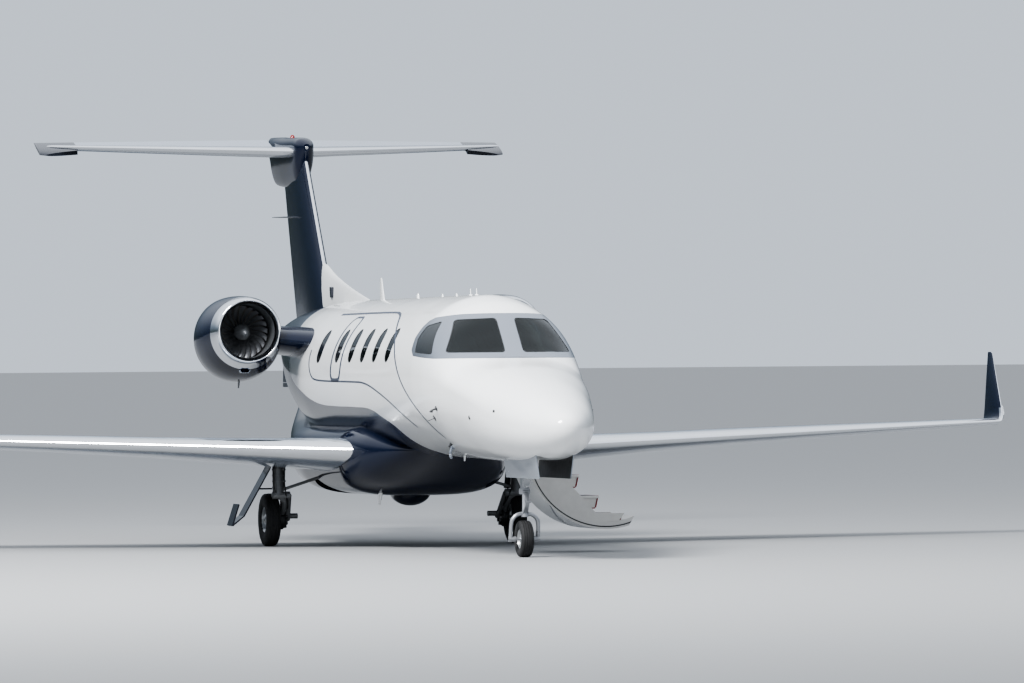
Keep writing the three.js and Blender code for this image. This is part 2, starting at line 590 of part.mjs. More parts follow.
// Tail: fin with its dorsal fin and rudder, ventral fin with its rudder, stabilizer, elevator and bullet
const finLead = (z) => 12210 + (z - 3418) * 0.767;
const finTrail = (z) => 13940 + (z - 2990) * 0.386;
const finChord = (z) => finTrail(z) - finLead(z);
const finRow = (z, thick) => ({ x: 0, z, lead: finLead(z), chord: finChord(z), thick, tilt: 90 });
const FIN = [finRow(2500, 0.09), finRow(3400, 0.1), finRow(4786, 0.11)];
const finPoint = (z, share) => at(0, lerp(finLead(z), finTrail(z), share), z);
const RUDDER = { from: finPoint(3060, 0.7), to: finPoint(4370, 0.7), radius: 70 };
const DORSAL = [
  { station: 9700, top: 2950, bottom: 2850, half: 14, wide: 2880 },
  { station: 10600, top: 3090, bottom: 2700, half: 34, wide: 2750 },
  { station: 11500, top: 3262, bottom: 2600, half: 62, wide: 2650 },
  { station: 12160, top: 3425, bottom: 2500, half: 80, wide: 2600 },
  { station: 12700, top: 3470, bottom: 2500, half: 80, wide: 2600 },
];
const VENTRAL = [
  { x: 0, z: 2500, lead: 12600, chord: 2060, thick: 0.06, tilt: 90 },
  { x: 0, z: 1880, lead: 13450, chord: 1270, thick: 0.07, tilt: 90 },
];
const VENTRAL_RUDDER = { from: at(0, 14330, 1940), to: at(0, 14330, 2225), radius: 34 };
const BULLET = [
  { station: 13170, top: 4950, bottom: 4850, half: 40, wide: 4915 },
  { station: 13240, top: 4990, bottom: 4700, half: 92, wide: 4915 },
  { station: 13350, top: 5028, bottom: 4520, half: 126, wide: 4915, round: 0.85 },
  { station: 13500, top: 5040, bottom: 4435, half: 130, wide: 4915, round: 0.78 },
  { station: 14200, top: 5060, bottom: 4430, half: 130, wide: 4915, round: 0.78 },
  { station: 14500, top: 5075, bottom: 4440, half: 125, wide: 4915, round: 0.8 },
  { station: 14850, top: 5085, bottom: 4470, half: 110, wide: 4915, round: 0.85 },
  { station: 15060, top: 5090, bottom: 4700, half: 90, wide: 4925 },
  { station: 15280, top: 5094, bottom: 4870, half: 55, wide: 4970 },
];
const TAIL_HALF_SPAN = 3050;
const TAIL_ROOT = { z: 4860, lead: 13320, chord: 1620, thick: 0.085 };
const TAIL_TIP = { z: 4985, lead: 15180, chord: 467, thick: 0.09 };
const STABILIZER = [
  { x: -TAIL_HALF_SPAN, ...TAIL_TIP },
  { x: 0, ...TAIL_ROOT },
  { x: TAIL_HALF_SPAN, ...TAIL_TIP },
];

function stabilizerPoint(x, share) {
  const t = x / TAIL_HALF_SPAN;
  const mix = (key) => lerp(TAIL_ROOT[key], TAIL_TIP[key], t);
  return at(x, mix("lead") + share * mix("chord"), mix("z"));
}

const ELEVATOR = {
  from: stabilizerPoint(190, 0.66),
  to: stabilizerPoint(3200, 0.66),
  radius: 52,
  freeTip: true,
};
const ELEVATOR_DROOP = radians(22);
// The horn balances of the elevator: its tips reach ahead of the hinge to a straight edge
const HORN = { from: 2570, lead: 15140 };
const hornBox = (spare) => box(HORN.from - 2 * spare, 3500, HORN.lead - spare, 16500, 4500, 5500);
const BULLET_ROOM = box(-138, 138, 14000, 16000, 4300, 5300);

function tail() {
  const finBody = wingBody(FIN);
  const finGrown = wingBody(FIN, SEAT_GAP);
  const rudder = splitAtHinge(cut(finBody, wholeOutside), RUDDER);
  add("fin", rudder.rest, "navy");
  add("rudder", cut(rudder.surface, fuselageBody(12000, TAIL_END, -PANEL_GAP - 2)), "navy");
  add("dorsal_fin", cut(ovalBody(DORSAL, 0, 12), wholeOutside, finGrown), "white");
  const ventral = splitAtHinge(cut(wingBody(VENTRAL), wholeOutside), VENTRAL_RUDDER);
  add("ventral_fin", ventral.rest, "navy");
  add("ventral_rudder", ventral.surface, "navy");
  let stabilizer = wingBody(STABILIZER);
  for (const hand of [PORT, STARBOARD]) {
    const half = hand === PORT ? stabilizer : mirrored(stabilizer, STARBOARD);
    const pinned = splitAtHinge(half, ELEVATOR);
    const surface = join(pinned.surface, half.intersect(hornBox(0)));
    const rest = cut(pinned.rest, hornBox(PANEL_GAP));
    const drooped = turned(cut(surface, BULLET_ROOM), ELEVATOR.from, ELEVATOR.to, ELEVATOR_DROOP);
    add(`elevator_${side(hand)}`, mirrored(drooped, hand), "white");
    stabilizer = hand === PORT ? rest : mirrored(rest, STARBOARD);
  }
  add("stabilizer", stabilizer, "polished");
  const bullet = cut(ovalBody(BULLET, 0, 16), wingBody(STABILIZER, SEAT_GAP), finGrown);
  add("tail_bullet", bullet, "navy");
}

// Engines: nacelle with its polished lip, fan, core and pylon, drawn for the port side
const ENGINE_X = 1600;
const NACELLE_RING = 20;
const SHAFT = 40;
const NACELLE = [
  { station: 9100, top: 2945, bottom: 2195, half: 375, wide: 2570, toe: 25 },
  { station: 9150, top: 2970, bottom: 2160, half: 405, wide: 2565, toe: 25 },
  { station: 9290, top: 2988, bottom: 2118, half: 437, wide: 2555, toe: 22 },
  { station: 9550, top: 2998, bottom: 2010, half: 488, wide: 2510, toe: 16 },
  { station: 9850, top: 3000, bottom: 1962, half: 517, wide: 2482, toe: 10 },
  { station: 10200, top: 2990, bottom: 1975, half: 480, wide: 2482, toe: -2 },
  { station: 10600, top: 2955, bottom: 2030, half: 408, wide: 2490, toe: -18 },
  { station: 11000, top: 2885, bottom: 2115, half: 335, wide: 2498, toe: -36 },
  { station: 11420, top: 2770, bottom: 2230, half: 258, wide: 2500, toe: -62 },
];
const DUCT = [
  { station: 9050, radius: 400, z: 2580 },
  { station: 9115, radius: 362, z: 2575 },
  { station: 9190, radius: 336, z: 2575 },
  { station: 9320, radius: 322, z: 2575 },
  { station: 9640, radius: 336, z: 2560 },
  { station: 9900, radius: 345, z: 2545 },
  { station: 10600, radius: 352, z: 2500, toe: -18 },
  { station: 11000, radius: 292, z: 2500, toe: -36 },
  { station: 11460, radius: 216, z: 2500, toe: -64 },
];
const LIP_END = 9285;
const FAN = { station: 9640, radius: 318, hub: 98, blades: 22, z: 2560 };
const CORE = { from: 9790, to: 11150, radius: 230, nozzle: 138, toe: -44, z: 2500, tip: 11400 };

const ductRow = ({ station, radius, z, toe = 0 }) => {
  return { station, top: z + radius, bottom: z - radius, half: radius, wide: z, toe };
};

function engine(hand) {
  const name = side(hand);
  const outer = ovalBody(NACELLE, 0, NACELLE_RING, ENGINE_X);
  const duct = ovalBody(DUCT.map(ductRow), 0, NACELLE_RING, ENGINE_X);
  const shell = cut(outer, duct);
  const front = (s) => box(ENGINE_X - 700, ENGINE_X + 700, 9000, s, 1500, 3500);
  add(`inlet_lip_${name}`, mirrored(shell.intersect(front(LIP_END - SEAT_GAP)), hand), "polished");
  add(`nacelle_${name}`, mirrored(cut(shell, front(LIP_END)), hand), "navy");

  const centre = (s) => at(ENGINE_X, s, FAN.z);
  const parts = [
    bar(centre(FAN.station - 60), centre(FAN.station + 60), FAN.hub, FAN.hub, FAN.blades),
    bar(centre(FAN.station - 220), centre(FAN.station - 60), 12, FAN.hub, FAN.blades),
  ];
  for (let i = 0; i < FAN.blades; i++) parts.push(blade((i * 2 * Math.PI) / FAN.blades));
  const shaft = bar(centre(FAN.station + 60), centre(FAN.station + 200), SHAFT, SHAFT, 24);
  add(`fan_${name}`, mirrored(join(...parts, shaft), hand), "titanium");

  const nozzle = at(ENGINE_X + CORE.toe, CORE.to, CORE.z);
  const tip = at(ENGINE_X + CORE.toe * 1.3, CORE.tip, CORE.z);
  const plug = bar(nozzle, tip, 105, 15, 24);
  const core = join(bar(centre(CORE.from), nozzle, CORE.radius, CORE.nozzle, 24), plug);
  const slice = box(ENGINE_X - 600, ENGINE_X + 600, 9880, 9950, 1500, 3500);
  const flange = ovalBody(DUCT.map(ductRow), SEAT_GAP, NACELLE_RING, ENGINE_X).intersect(slice);
  const socketRadius = SHAFT + SEAT_GAP;
  const socket = bar(centre(CORE.from - 40), centre(FAN.station + 203), socketRadius, socketRadius, 24);
  add(`engine_${name}`, mirrored(cut(join(core, flange), socket), hand), "titanium");

  const nacelleGrown = ovalBody(NACELLE, -SEAT_GAP, NACELLE_RING, ENGINE_X);
  const pylon = cut(wingBody(PYLON), wholeOutside, nacelleGrown);
  add(`pylon_${name}`, mirrored(pylon, hand), "navy");
}

const PYLON = [
  { x: 400, z: 2390, lead: 9200, chord: 2500, thick: 0.168 },
  { x: 1290, z: 2485, lead: 9290, chord: 2060, thick: 0.158 },
];

function blade(angle) {
  const rings = [];
  for (const [r, half, lean] of [[FAN.hub - 50, 30, 0.4], [FAN.radius, 36, 1.1]]) {
    const thick = 3.5;
    const ring = [[-half, -thick], [half, -thick], [half, thick], [-half, thick]].map(([s, t]) => {
      const turnedIn = new THREE.Vector2(s, t).rotateAround(new THREE.Vector2(), lean);
      const bend = 0.25 * ((r - FAN.hub) / FAN.radius) ** 2;
      const a = angle + bend;
      const x = r * Math.cos(a) - turnedIn.y * Math.sin(a);
      const z = r * Math.sin(a) + turnedIn.y * Math.cos(a);
      return at(ENGINE_X + x, FAN.station + turnedIn.x, FAN.z + z);
    });
    rings.push(ring);
  }
  return loft(rings);
}

// Landing gear: wheels are turned about their axles from a half profile of width and radius
function wheel(x, station, radius, width, rim, bore) {
  const half = width / 2;
  const profile = [
    [bore, -half * 0.62],
    [rim * 0.45, -half * 0.62],
    [rim * 0.82, -half * 0.35],
    [rim * 0.97, -half * 0.74],
    [rim * 1.18, -half * 0.98],
    [radius * 0.87, -half * 0.98],
    [radius * 0.97, -half * 0.74],
    [radius, -half * 0.4],
  ];
  const both = [...profile, ...profile.map(([r, w]) => [r, -w]).reverse()];
  const points = [...both, both[0]].map(([r, w]) => new THREE.Vector2(r, w));
  const geometry = new THREE.LatheGeometry(points, 20);
  geometry.rotateZ(Math.PI / 2);
  geometry.translate(x, station - LENGTH / 2, radius);
  return solidOf(geometry);
}

const NOSE_GEAR = {
  radius: 205,
  width: 145,
  legX: 155,
  strutStation: 2015,
  crown: 470,
  shoulder: 370,
  axle: 15,
  sleeve: 48,
};
// The nose gear doors hang a little inwards, from "top" to "foot"
const NOSE_DOOR = { top: 205, foot: 172, thick: 12, from: 640, to: 2120, root: 1150, hang: 890 };

function noseGear() {
  const { radius, width, strutStation, crown, shoulder, legX, axle, sleeve } = NOSE_GEAR;
  const up = (z, station = strutStation) => at(0, station, z);
  const hub = (x) => at(x, NOSE_WHEEL_STATION, radius);
  const bore = 28 + SEAT_GAP;
  const leg = join(
    bar(up(700), up(1390), sleeve, sleeve, 20),
    bar(at(-BAY.half + SEAT_GAP, strutStation, 1300), at(BAY.half - SEAT_GAP, strutStation, 1300), 30),
    bar(up(900, strutStation - 20), up(1290, 1320), 22),
    bar(at(-BAY.half + SEAT_GAP, 1320, 1290), at(BAY.half - SEAT_GAP, 1320, 1290), 22),
  );
  add("nose_leg", cut(leg, bar(up(690), up(1100), bore, bore, 24)), "gear");
  const legs = [PORT, STARBOARD].map((hand) => {
    const bend = at(hand * legX * 0.62, strutStation, crown - 12);
    const arm = at(hand * legX, strutStation + 5, shoulder);
    const foot = hub(hand * legX);
    const spacer = bar(foot, hub(hand * 95), 30);
    return join(bar(up(crown), bend, 32, 28), bar(bend, arm, 28, 22), bar(arm, foot, 20), spacer);
  });
  const throat = sleeve + 3 * SEAT_GAP;
  const collar = cut(bar(up(705), up(765), 64, 64, 24), bar(up(690), up(780), throat, throat, 24));
  const fork = join(
    ...legs,
    bar(up(crown), up(1095), 28, 28, 20),
    bar(hub(-legX - 22), hub(legX + 22), axle, axle, 20),
    bar(up(735, strutStation - 60), up(620, strutStation - 150), 14),
    bar(up(620, strutStation - 150), up(crown, strutStation - 20), 14),
    collar,
  );
  add("nose_fork", fork, "gear");
  add("nose_wheel", wheel(0, NOSE_WHEEL_STATION, radius, width, 105, axle + SEAT_GAP), "rubber");
  for (const hand of [PORT, STARBOARD]) {
    const { top, foot, thick, from, to, root, hang } = NOSE_DOOR;
    const outline = [[foot, hang], [foot + thick, hang], [top + thick, root], [top, root]];
    const panel = cut(prism("front", outline, from, to), wholeOutside);
    add(`nose_gear_door_${side(hand)}`, mirrored(panel, hand), "white");
  }
}

const MAIN_GEAR = {
  radius: 315,
  width: 172,
  legX: 1460,
  station: 8260,
  knee: 610,
  axle: 24,
  thick: 70,
  neck: 64,
};
const LEG_SLOT = { inner: 900, outer: 1545, from: 8170, to: 8410, roof: 1085 };
// The leg's door from the wing to its foot, and the small leaf that is folded up from the foot
const MAIN_DOOR = {
  outside: [[1546, 1030], [1590, 925], [1905, 372], [2045, 262]],
  inside: [[2030, 250], [1888, 366], [1574, 922], [1532, 1030]],
  leaf: [[2045, 262], [2030, 250], [1948, 508], [1964, 514]],
  from: 8160,
  to: 8460,
};

function mainGear(hand) {
  const { radius, width, legX, station, knee, axle, thick, neck } = MAIN_GEAR;
  const name = side(hand);
  const wheelX = TRACK / 2;
  const inner = wheelX - width / 2;
  const hub = (x, z = radius) => at(x, MAIN_WHEEL_STATION, z);
  const [elbow, lowElbow] = [at(1380, station + 30, 545), at(1375, MAIN_WHEEL_STATION, radius + 15)];
  const roof = at(legX, station + 50, LEG_SLOT.roof);
  const leg = join(
    bar(at(legX, station, knee), roof, thick, neck, 16),
    bar(at(1320, station, knee), at(1530, station, knee), 46, 46, 16),
    bar(at(1465, station - 5, knee - 5), elbow, 34),
    bar(elbow, lowElbow, 34),
    bar(at(1325, station, knee), hub(1290), 28, 30),
    bar(at(1372, MAIN_WHEEL_STATION - 70, 420), at(1405, station + 105, 1000), 28, 34),
    bar(hub(inner - 6), hub(inner - 95), 118, 118, 24),
    bar(hub(1170, radius + 42), hub(inner - 60, radius + 42), 32),
    bar(hub(inner - 60), hub(wheelX + width * 0.4), axle, axle, 20),
    bar(at(1420, station + 20, 672), at(900, station + 60, 832), 18),
  );
  const reachable = box(0, 3000, 7000, 10000, 0, LEG_SLOT.roof - SEAT_GAP);
  add(`main_leg_${name}`, mirrored(cut(leg, fairingGrown).intersect(reachable), hand), "gear");
  const tyre = wheel(wheelX, MAIN_WHEEL_STATION, radius, width, 150, axle + SEAT_GAP);
  add(`main_wheel_${name}`, mirrored(tyre, hand), "rubber");
  const link = bar(at(1720, station + 20, 690), at(1500, station + 20, 690), 10);
  const grownLeg = bar(at(legX, station, knee), roof, thick + SEAT_GAP, neck + SEAT_GAP, 16);
  const { outside, inside, leaf, from, to } = MAIN_DOOR;
  const panel = join(prism("front", [...outside, ...inside], from, to), prism("front", leaf, from, to));
  const door = cut(join(panel, link), grownLeg, wingBody(WING, SEAT_GAP));
  add(`main_gear_door_${name}`, mirrored(door, hand), "navy");
}

nose();
cockpit();
cabin();
tailCone();
interior();
airstair();
bellyFairing();
tail();
noseGear();
for (const hand of [PORT, STARBOARD]) {
  wing(hand);
  engine(hand);
  mainGear(hand);
}

export default jet;
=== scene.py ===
# Light business jet on its landing gear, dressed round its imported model. Metres, nose towards -Y,
# port wing towards +X, +Z up, with the origin on the ground under the middle of the length.
import bisect
import math

import bmesh
import bpy
from mathutils import Matrix, Vector


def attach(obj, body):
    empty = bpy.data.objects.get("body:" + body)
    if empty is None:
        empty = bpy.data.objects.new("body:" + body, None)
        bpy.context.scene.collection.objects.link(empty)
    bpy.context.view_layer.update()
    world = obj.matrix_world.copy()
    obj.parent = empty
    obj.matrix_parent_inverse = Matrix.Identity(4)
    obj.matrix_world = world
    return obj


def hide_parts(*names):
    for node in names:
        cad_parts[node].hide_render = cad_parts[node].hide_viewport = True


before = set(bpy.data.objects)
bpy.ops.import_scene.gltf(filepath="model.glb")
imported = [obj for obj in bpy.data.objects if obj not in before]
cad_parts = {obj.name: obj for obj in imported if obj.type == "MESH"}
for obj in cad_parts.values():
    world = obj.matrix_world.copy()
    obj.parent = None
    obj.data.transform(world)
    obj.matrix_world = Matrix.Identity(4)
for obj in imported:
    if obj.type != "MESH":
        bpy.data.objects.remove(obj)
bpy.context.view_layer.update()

scene = bpy.context.scene

# The picture: a long lens well off the starboard bow, a little above head height, over a pale apron.
# The camera stands 86 m away, so that the parallel lines of the wing hardly draw together.
PHOTO_WIDTH = 1024
FOCAL_PIXELS = 7198.5
SENSOR = 36.0
EYE = Vector((-19.44, -83.40, 2.138))
TURN_TO_PORT = 0.2439
PITCH_UP = 0.003267
ROLL = -0.0084


def placed(name, data):
    """An object of the data, linked to the scene."""
    obj = bpy.data.objects.new(name, data)
    scene.collection.objects.link(obj)
    return obj


camera = bpy.data.cameras.new("picture_camera")
camera.sensor_fit = "HORIZONTAL"
camera.sensor_width = SENSOR
camera.lens = FOCAL_PIXELS / PHOTO_WIDTH * SENSOR
camera.clip_end = 9000
viewer = placed("picture_camera", camera)
viewer.matrix_world = (
    Matrix.Translation(EYE)
    @ Matrix.Rotation(-TURN_TO_PORT, 4, "Z")
    @ Matrix.Rotation(math.pi / 2 + PITCH_UP, 4, "X")
    @ Matrix.Rotation(ROLL, 4, "Z")
)
scene.camera = viewer
scene.view_settings.look = "AgX - Medium High Contrast"
scene.view_settings.exposure = 0.1

# The floor is one pale matt sheet, and the light is soft: a bright sky dome, darker towards the
# ground, and one wide lamp high on the starboard bow, where the sun stands.
FLOOR_HALF = 4000.0
# Height of the direction from -1, straight down, to 1, straight up, and the sky's colour there
SKY = [
    (-1.0, (0.26, 0.26, 0.26)), (-0.02, (0.06, 0.07, 0.07)), (0.03, (0.06, 0.08, 0.09)),
    (0.14, (0.20, 0.24, 0.29)), (0.42, (0.95, 1.02, 1.12)), (1.0, (1.35, 1.40, 1.48)),
]
BACKDROP = (0.60, 0.66, 0.74, 1)
LAMP_AT = Vector((-17, -19, 24))
LAMP_AIM = Vector((0, 0, 2))


def principled(name):
    """A new material, with its node tree and its shader."""
    material = bpy.data.materials.new(name)
    material.use_nodes = True
    return material, material.node_tree, material.node_tree.nodes["Principled BSDF"]


def plug(tree, socket, value):
    """Gives a socket its value, or links it to the socket that the value comes from."""
    if isinstance(value, bpy.types.NodeSocket):
        tree.links.new(value, socket)
    else:
        socket.default_value = value


def wired(tree, kind, settings=(), **inputs):
    """Adds a node, with its settings, and with values or links for its inputs by name or number."""
    node = tree.nodes.new("ShaderNode" + kind)
    for key, value in dict(settings).items():
        setattr(node, key, value)
    for key, value in inputs.items():
        socket = node.inputs[int(key[1:])] if key[1:].isdigit() else node.inputs[key.replace("_", " ")]
        plug(tree, socket, value)
    return node


def ranged(tree, value, low, high, to_low=0.0, to_high=1.0):
    """Maps one range of values to another."""
    return wired(tree, "MapRange", i0=value, i1=low, i2=high, i3=to_low, i4=to_high).outputs[0]


def color_mix(tree, factor, first, second, blend="MIX"):
    mix = wired(tree, "Mix", {"data_type": "RGBA", "blend_type": blend}, Factor=factor)
    for socket, value in zip([s for s in mix.inputs if s.type == "RGBA"], (first, second)):
        plug(tree, socket, value)
    return [s for s in mix.outputs if s.type == "RGBA"][0]


floor_mesh = bmesh.new()
bmesh.ops.create_grid(floor_mesh, x_segments=1, y_segments=1, size=FLOOR_HALF)
floor_data = bpy.data.meshes.new("apron")
floor_mesh.to_mesh(floor_data)
floor_mesh.free()
apron, _, apron_shader = principled("pale_apron")
apron_shader.inputs["Base Color"].default_value = (0.27, 0.275, 0.28, 1)
apron_shader.inputs["Roughness"].default_value = 0.9
floor_data.materials.append(apron)
placed("apron", floor_data)

world = bpy.data.worlds.new("soft_sky")
scene.world = world
world.use_nodes = True
sky_tree = world.node_tree
direction = wired(sky_tree, "TexCoord").outputs["Generated"]
upness = wired(sky_tree, "SeparateXYZ", Vector=direction).outputs["Z"]
ramp = wired(sky_tree, "ValToRGB", Fac=ranged(sky_tree, upness, -1, 1))
bands = ramp.color_ramp.elements
while len(bands) < len(SKY):
    bands.new(0.5)
for band, (height, shade) in zip(bands, SKY):
    band.position = (height + 1) / 2
    band.color = (*shade, 1)
seen = wired(sky_tree, "LightPath").outputs["Is Camera Ray"]
dome = sky_tree.nodes["Background"]
plug(sky_tree, dome.inputs["Color"], color_mix(sky_tree, seen, ramp.outputs["Color"], BACKDROP))
dome.inputs["Strength"].default_value = 1.0

lamp_data = bpy.data.lights.new("high_lamp", "AREA")
lamp_data.shape = "DISK"
lamp_data.size = 12
lamp_data.energy = 21000
lamp = placed("high_lamp", lamp_data)
lamp.location = LAMP_AT
lamp.rotation_mode = "QUATERNION"
lamp.rotation_quaternion = (LAMP_AIM - LAMP_AT).to_track_quat("-Z", "Y")

# Fuselage: aluminium skin on frames, riveted and filled smooth, then painted. Its lines are faired
# through a row of stations, metres aft of the nose tip, as on a lofting floor.
NOSE_TO_MIDDLE = 7.82
PORT, STARBOARD = 1, -1
SIDES = {PORT: "left", STARBOARD: "right"}
# Station, top, bottom, half width, height of the widest place, squareness
HULL = [
    (0.0, 1.45, 1.45, 0.0, 1.45, 1.0),
    (0.04, 1.555, 1.335, 0.115, 1.448, 1.0),
    (0.15, 1.628, 1.245, 0.210, 1.446, 1.0),
    (0.35, 1.712, 1.165, 0.318, 1.450, 0.97),
    (0.7, 1.832, 1.105, 0.460, 1.475, 0.94),
    (1.2, 1.975, 1.072, 0.583, 1.560, 0.92),
    (1.8, 2.115, 1.062, 0.703, 1.730, 0.93),
    (2.34, 2.240, 1.062, 0.788, 1.855, 0.95),
    (2.64, 2.478, 1.064, 0.836, 1.905, 0.96),
    (2.94, 2.725, 1.067, 0.875, 1.950, 0.96),
    (3.25, 2.868, 1.070, 0.904, 1.985, 0.97),
    (3.65, 2.937, 1.076, 0.924, 2.005, 0.99),
    (4.3, 2.940, 1.080, 0.930, 2.010, 1.0),
    (9.2, 2.940, 1.080, 0.930, 2.010, 1.0),
    (10.0, 2.938, 1.165, 0.898, 2.050, 1.0),
    (11.0, 2.915, 1.370, 0.775, 2.140, 1.0),
    (12.0, 2.868, 1.660, 0.595, 2.265, 1.0),
    (13.0, 2.800, 1.960, 0.405, 2.390, 1.0),
    (14.0, 2.700, 2.240, 0.215, 2.475, 1.0),
    (14.65, 2.612, 2.400, 0.095, 2.506, 1.0),
]
HULL_SPOKES = 96
NOSE_PITCH, HULL_PITCH = 0.045, 0.12
WALL = 0.08
# What touching pieces keep between them
SPARE = 0.0004
COCKPIT_FROM, CABIN_TO, TAIL_TO = 2.26, 9.12, 14.65


def at(x, station, z):
    return Vector((x, station - NOSE_TO_MIDDLE, z))


def faired(rows, warp=lambda station: station):
    """A function from station to the other values of a row, faired without bulges between the rows."""
    knots = [warp(row[0]) for row in rows]
    columns = list(zip(*rows))[1:]
    leans = []
    for column in columns:
        rise = [(b - a) / (q - p) for a, b, p, q in zip(column, column[1:], knots, knots[1:])]
        inner = [2 * a * b / (a + b) if a * b > 0 else 0.0 for a, b in zip(rise, rise[1:])]
        leans.append([rise[0], *inner, rise[-1]])

    def row_at(station):
        knot = min(max(warp(station), knots[0]), knots[-1])
        i = min(bisect.bisect_right(knots, knot), len(knots) - 1) - 1
        gap = knots[i + 1] - knots[i]
        t = (knot - knots[i]) / gap
        here, there = 2 * t**3 - 3 * t * t + 1, 3 * t * t - 2 * t**3
        lean_here, lean_there = (t**3 - 2 * t * t + t) * gap, (t**3 - t * t) * gap
        return [
            here * c[i] + lean_here * m[i] + there * c[i + 1] + lean_there * m[i + 1]
            for c, m in zip(columns, leans)
        ]

    return row_at


def oval(station, top, bottom, half, wide, square=1.0, toe=0.0, count=HULL_SPOKES, swell=0.0):
    ring = []
    for i in range(count):
        angle = (i + 0.5) * math.tau / count
        c, s = math.cos(angle), math.sin(angle)
        reach = top - wide if s > 0 else wide - bottom
        x = max(half + swell, 0.0) * math.copysign(abs(c) ** square, c)
        z = wide + max(reach + swell, 0.0) * math.copysign(abs(s) ** square, s)
        ring.append(at(toe + x, station, z))
    return ring


def skin_through(rings):
    """A closed skin, drawn from a circle through each ring in turn."""
    made = bmesh.new()
    spoke = made.verts.layers.int.new("spoke")
    bmesh.ops.create_circle(made, cap_ends=False, radius=1, segments=len(rings[0]))
    for i, vert in enumerate(made.verts):
        vert[spoke] = i
        vert.co = rings[0][i]
    edges = made.edges[:]
    for ring in rings[1:]:
        drawn = bmesh.ops.extrude_edge_only(made, edges=edges)["geom"]
        edges = [g for g in drawn if isinstance(g, bmesh.types.BMEdge) and g.is_boundary]
        for vert in (g for g in drawn if isinstance(g, bmesh.types.BMVert)):
            vert.co = ring[vert[spoke]]
    bmesh.ops.remove_doubles(made, verts=made.verts, dist=1e-6)
    bmesh.ops.holes_fill(made, edges=[e for e in made.edges if e.is_boundary], sides=0)
    bmesh.ops.recalc_face_normals(made, faces=made.faces)
    return made


def carved(body, *tools, how="DIFFERENCE"):
    """The body with each tool cut out of it, kept within it, or joined to it."""
    bench = []
    for shape in (body, *tools):
        data = bpy.data.meshes.new("on_the_bench")
        shape.to_mesh(data)
        bench.append(placed("on_the_bench", data))
    for tool in bench[1:]:
        cut = bench[0].modifiers.new("cut", "BOOLEAN")
        cut.operation, cut.solver, cut.object = how, "EXACT", tool
    shaped = bpy.data.meshes.new_from_object(
        bench[0].evaluated_get(bpy.context.evaluated_depsgraph_get())
    )
    assert shaped.polygons, "a cut left nothing of " + bench[0].name
    made = bmesh.new()
    made.from_mesh(shaped)
    for used in [obj.data for obj in bench] + [shaped]:
        bpy.data.meshes.remove(used)
    return made


def kept(body, *tools):
    """What the body shares with all the tools."""
    return carved(body, *tools, how="INTERSECT")


def outline_block(outline, view, near, far):
    """An outline seen from the side (station, height), front (offset, height) or top (offset, station)."""
    made = bmesh.new()
    place = {
        "side": lambda a, z, x: at(x, a, z), "front": lambda x, z, a: at(x, a, z), "top": at,
    }[view]
    face = made.faces.new([made.verts.new(place(u, v, near)) for u, v in outline])
    grown = bmesh.ops.extrude_face_region(made, geom=[face])["geom"]
    verts = [g for g in grown if isinstance(g, bmesh.types.BMVert)]
    bmesh.ops.translate(made, verts=verts, vec=place(0, 0, far) - place(0, 0, near))
    bmesh.ops.recalc_face_normals(made, faces=made.faces)
    return made


def box_block(x0, x1, a0, a1, z0, z1):
    return outline_block([(a0, z0), (a1, z0), (a1, z1), (a0, z1)], "side", x0, x1)


def rounded(corners, radius, steps=6):
    """The outline with its corners rounded off, each over a curve that starts a radius away."""
    outline = []
    for before, here, after in zip([corners[-1], *corners], corners, [*corners[1:], corners[0]]):
        here = Vector(here)
        start = here + (Vector(before) - here).normalized() * radius
        end = here + (Vector(after) - here).normalized() * radius
        for i in range(steps + 1):
            t = i / steps
            outline.append(start.lerp(here, t).lerp(here.lerp(end, t), t).to_tuple())
    return outline


def spread_out(outline, amount):
    """The outline moved outwards by an amount, away from its middle."""
    middle = sum((Vector(p) for p in outline), Vector((0, 0))) / len(outline)
    return [(Vector(p) + (Vector(p) - middle).normalized() * amount).to_tuple() for p in outline]


def gathered(*shapes):
    """Several shapes as the parts of one piece."""
    together = bmesh.new()
    for shape in shapes:
        held = bpy.data.meshes.new("held")
        shape.to_mesh(held)
        together.from_mesh(held)
        bpy.data.meshes.remove(held)
    return together


def moved(made, matrix):
    bmesh.ops.transform(made, matrix=matrix, verts=made.verts)
    return made


def bevelled(made, offset, segments=2):
    """The block with all its edges bevelled."""
    bmesh.ops.bevel(
        made, geom=made.edges[:], offset=offset, segments=segments, profile=0.5, affect="EDGES", material=-1
    )
    return made


def piece(name, made, slot, *materials, body="airframe", node=(), crease=32.0, part=None):
    """Makes an object of the mesh, with its edges sharp where they turn by more than the crease.

    It rides on a body, and stands in for a node of the frame or for several.
    """
    for face in made.faces:
        face.smooth = True
    for edge in made.edges:
        edge.smooth = len(edge.link_faces) == 2 and edge.calc_face_angle(0) < math.radians(crease)
    data = bpy.data.meshes.new(name)
    if part:
        for face in made.faces:
            face.material_index = part(face)
    made.to_mesh(data)
    made.free()
    for material in materials:
        data.materials.append(material)
    obj = placed(name, data)
    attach(obj, body)
    if node:
        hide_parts(*([node] if isinstance(node, str) else node))
    return obj


def mirrored(made, hand):
    if hand == STARBOARD:
        bmesh.ops.scale(made, vec=(-1, 1, 1), verts=made.verts)
        bmesh.ops.reverse_faces(made, faces=made.faces)
    return made


def pair(name, made, *looks, body="airframe", node=(), part=None):
    """A piece on the port side and its mirror image. Words that end in an underline get the side."""
    for hand, side in SIDES.items():
        nodes = [word + side for word in ([node] if isinstance(node, str) else node)]
        rides = body + side if body.endswith("_") else body
        piece(name + side, mirrored(made.copy(), hand), *looks, body=rides, node=nodes, part=part)


hull_row = faired(HULL, math.sqrt)


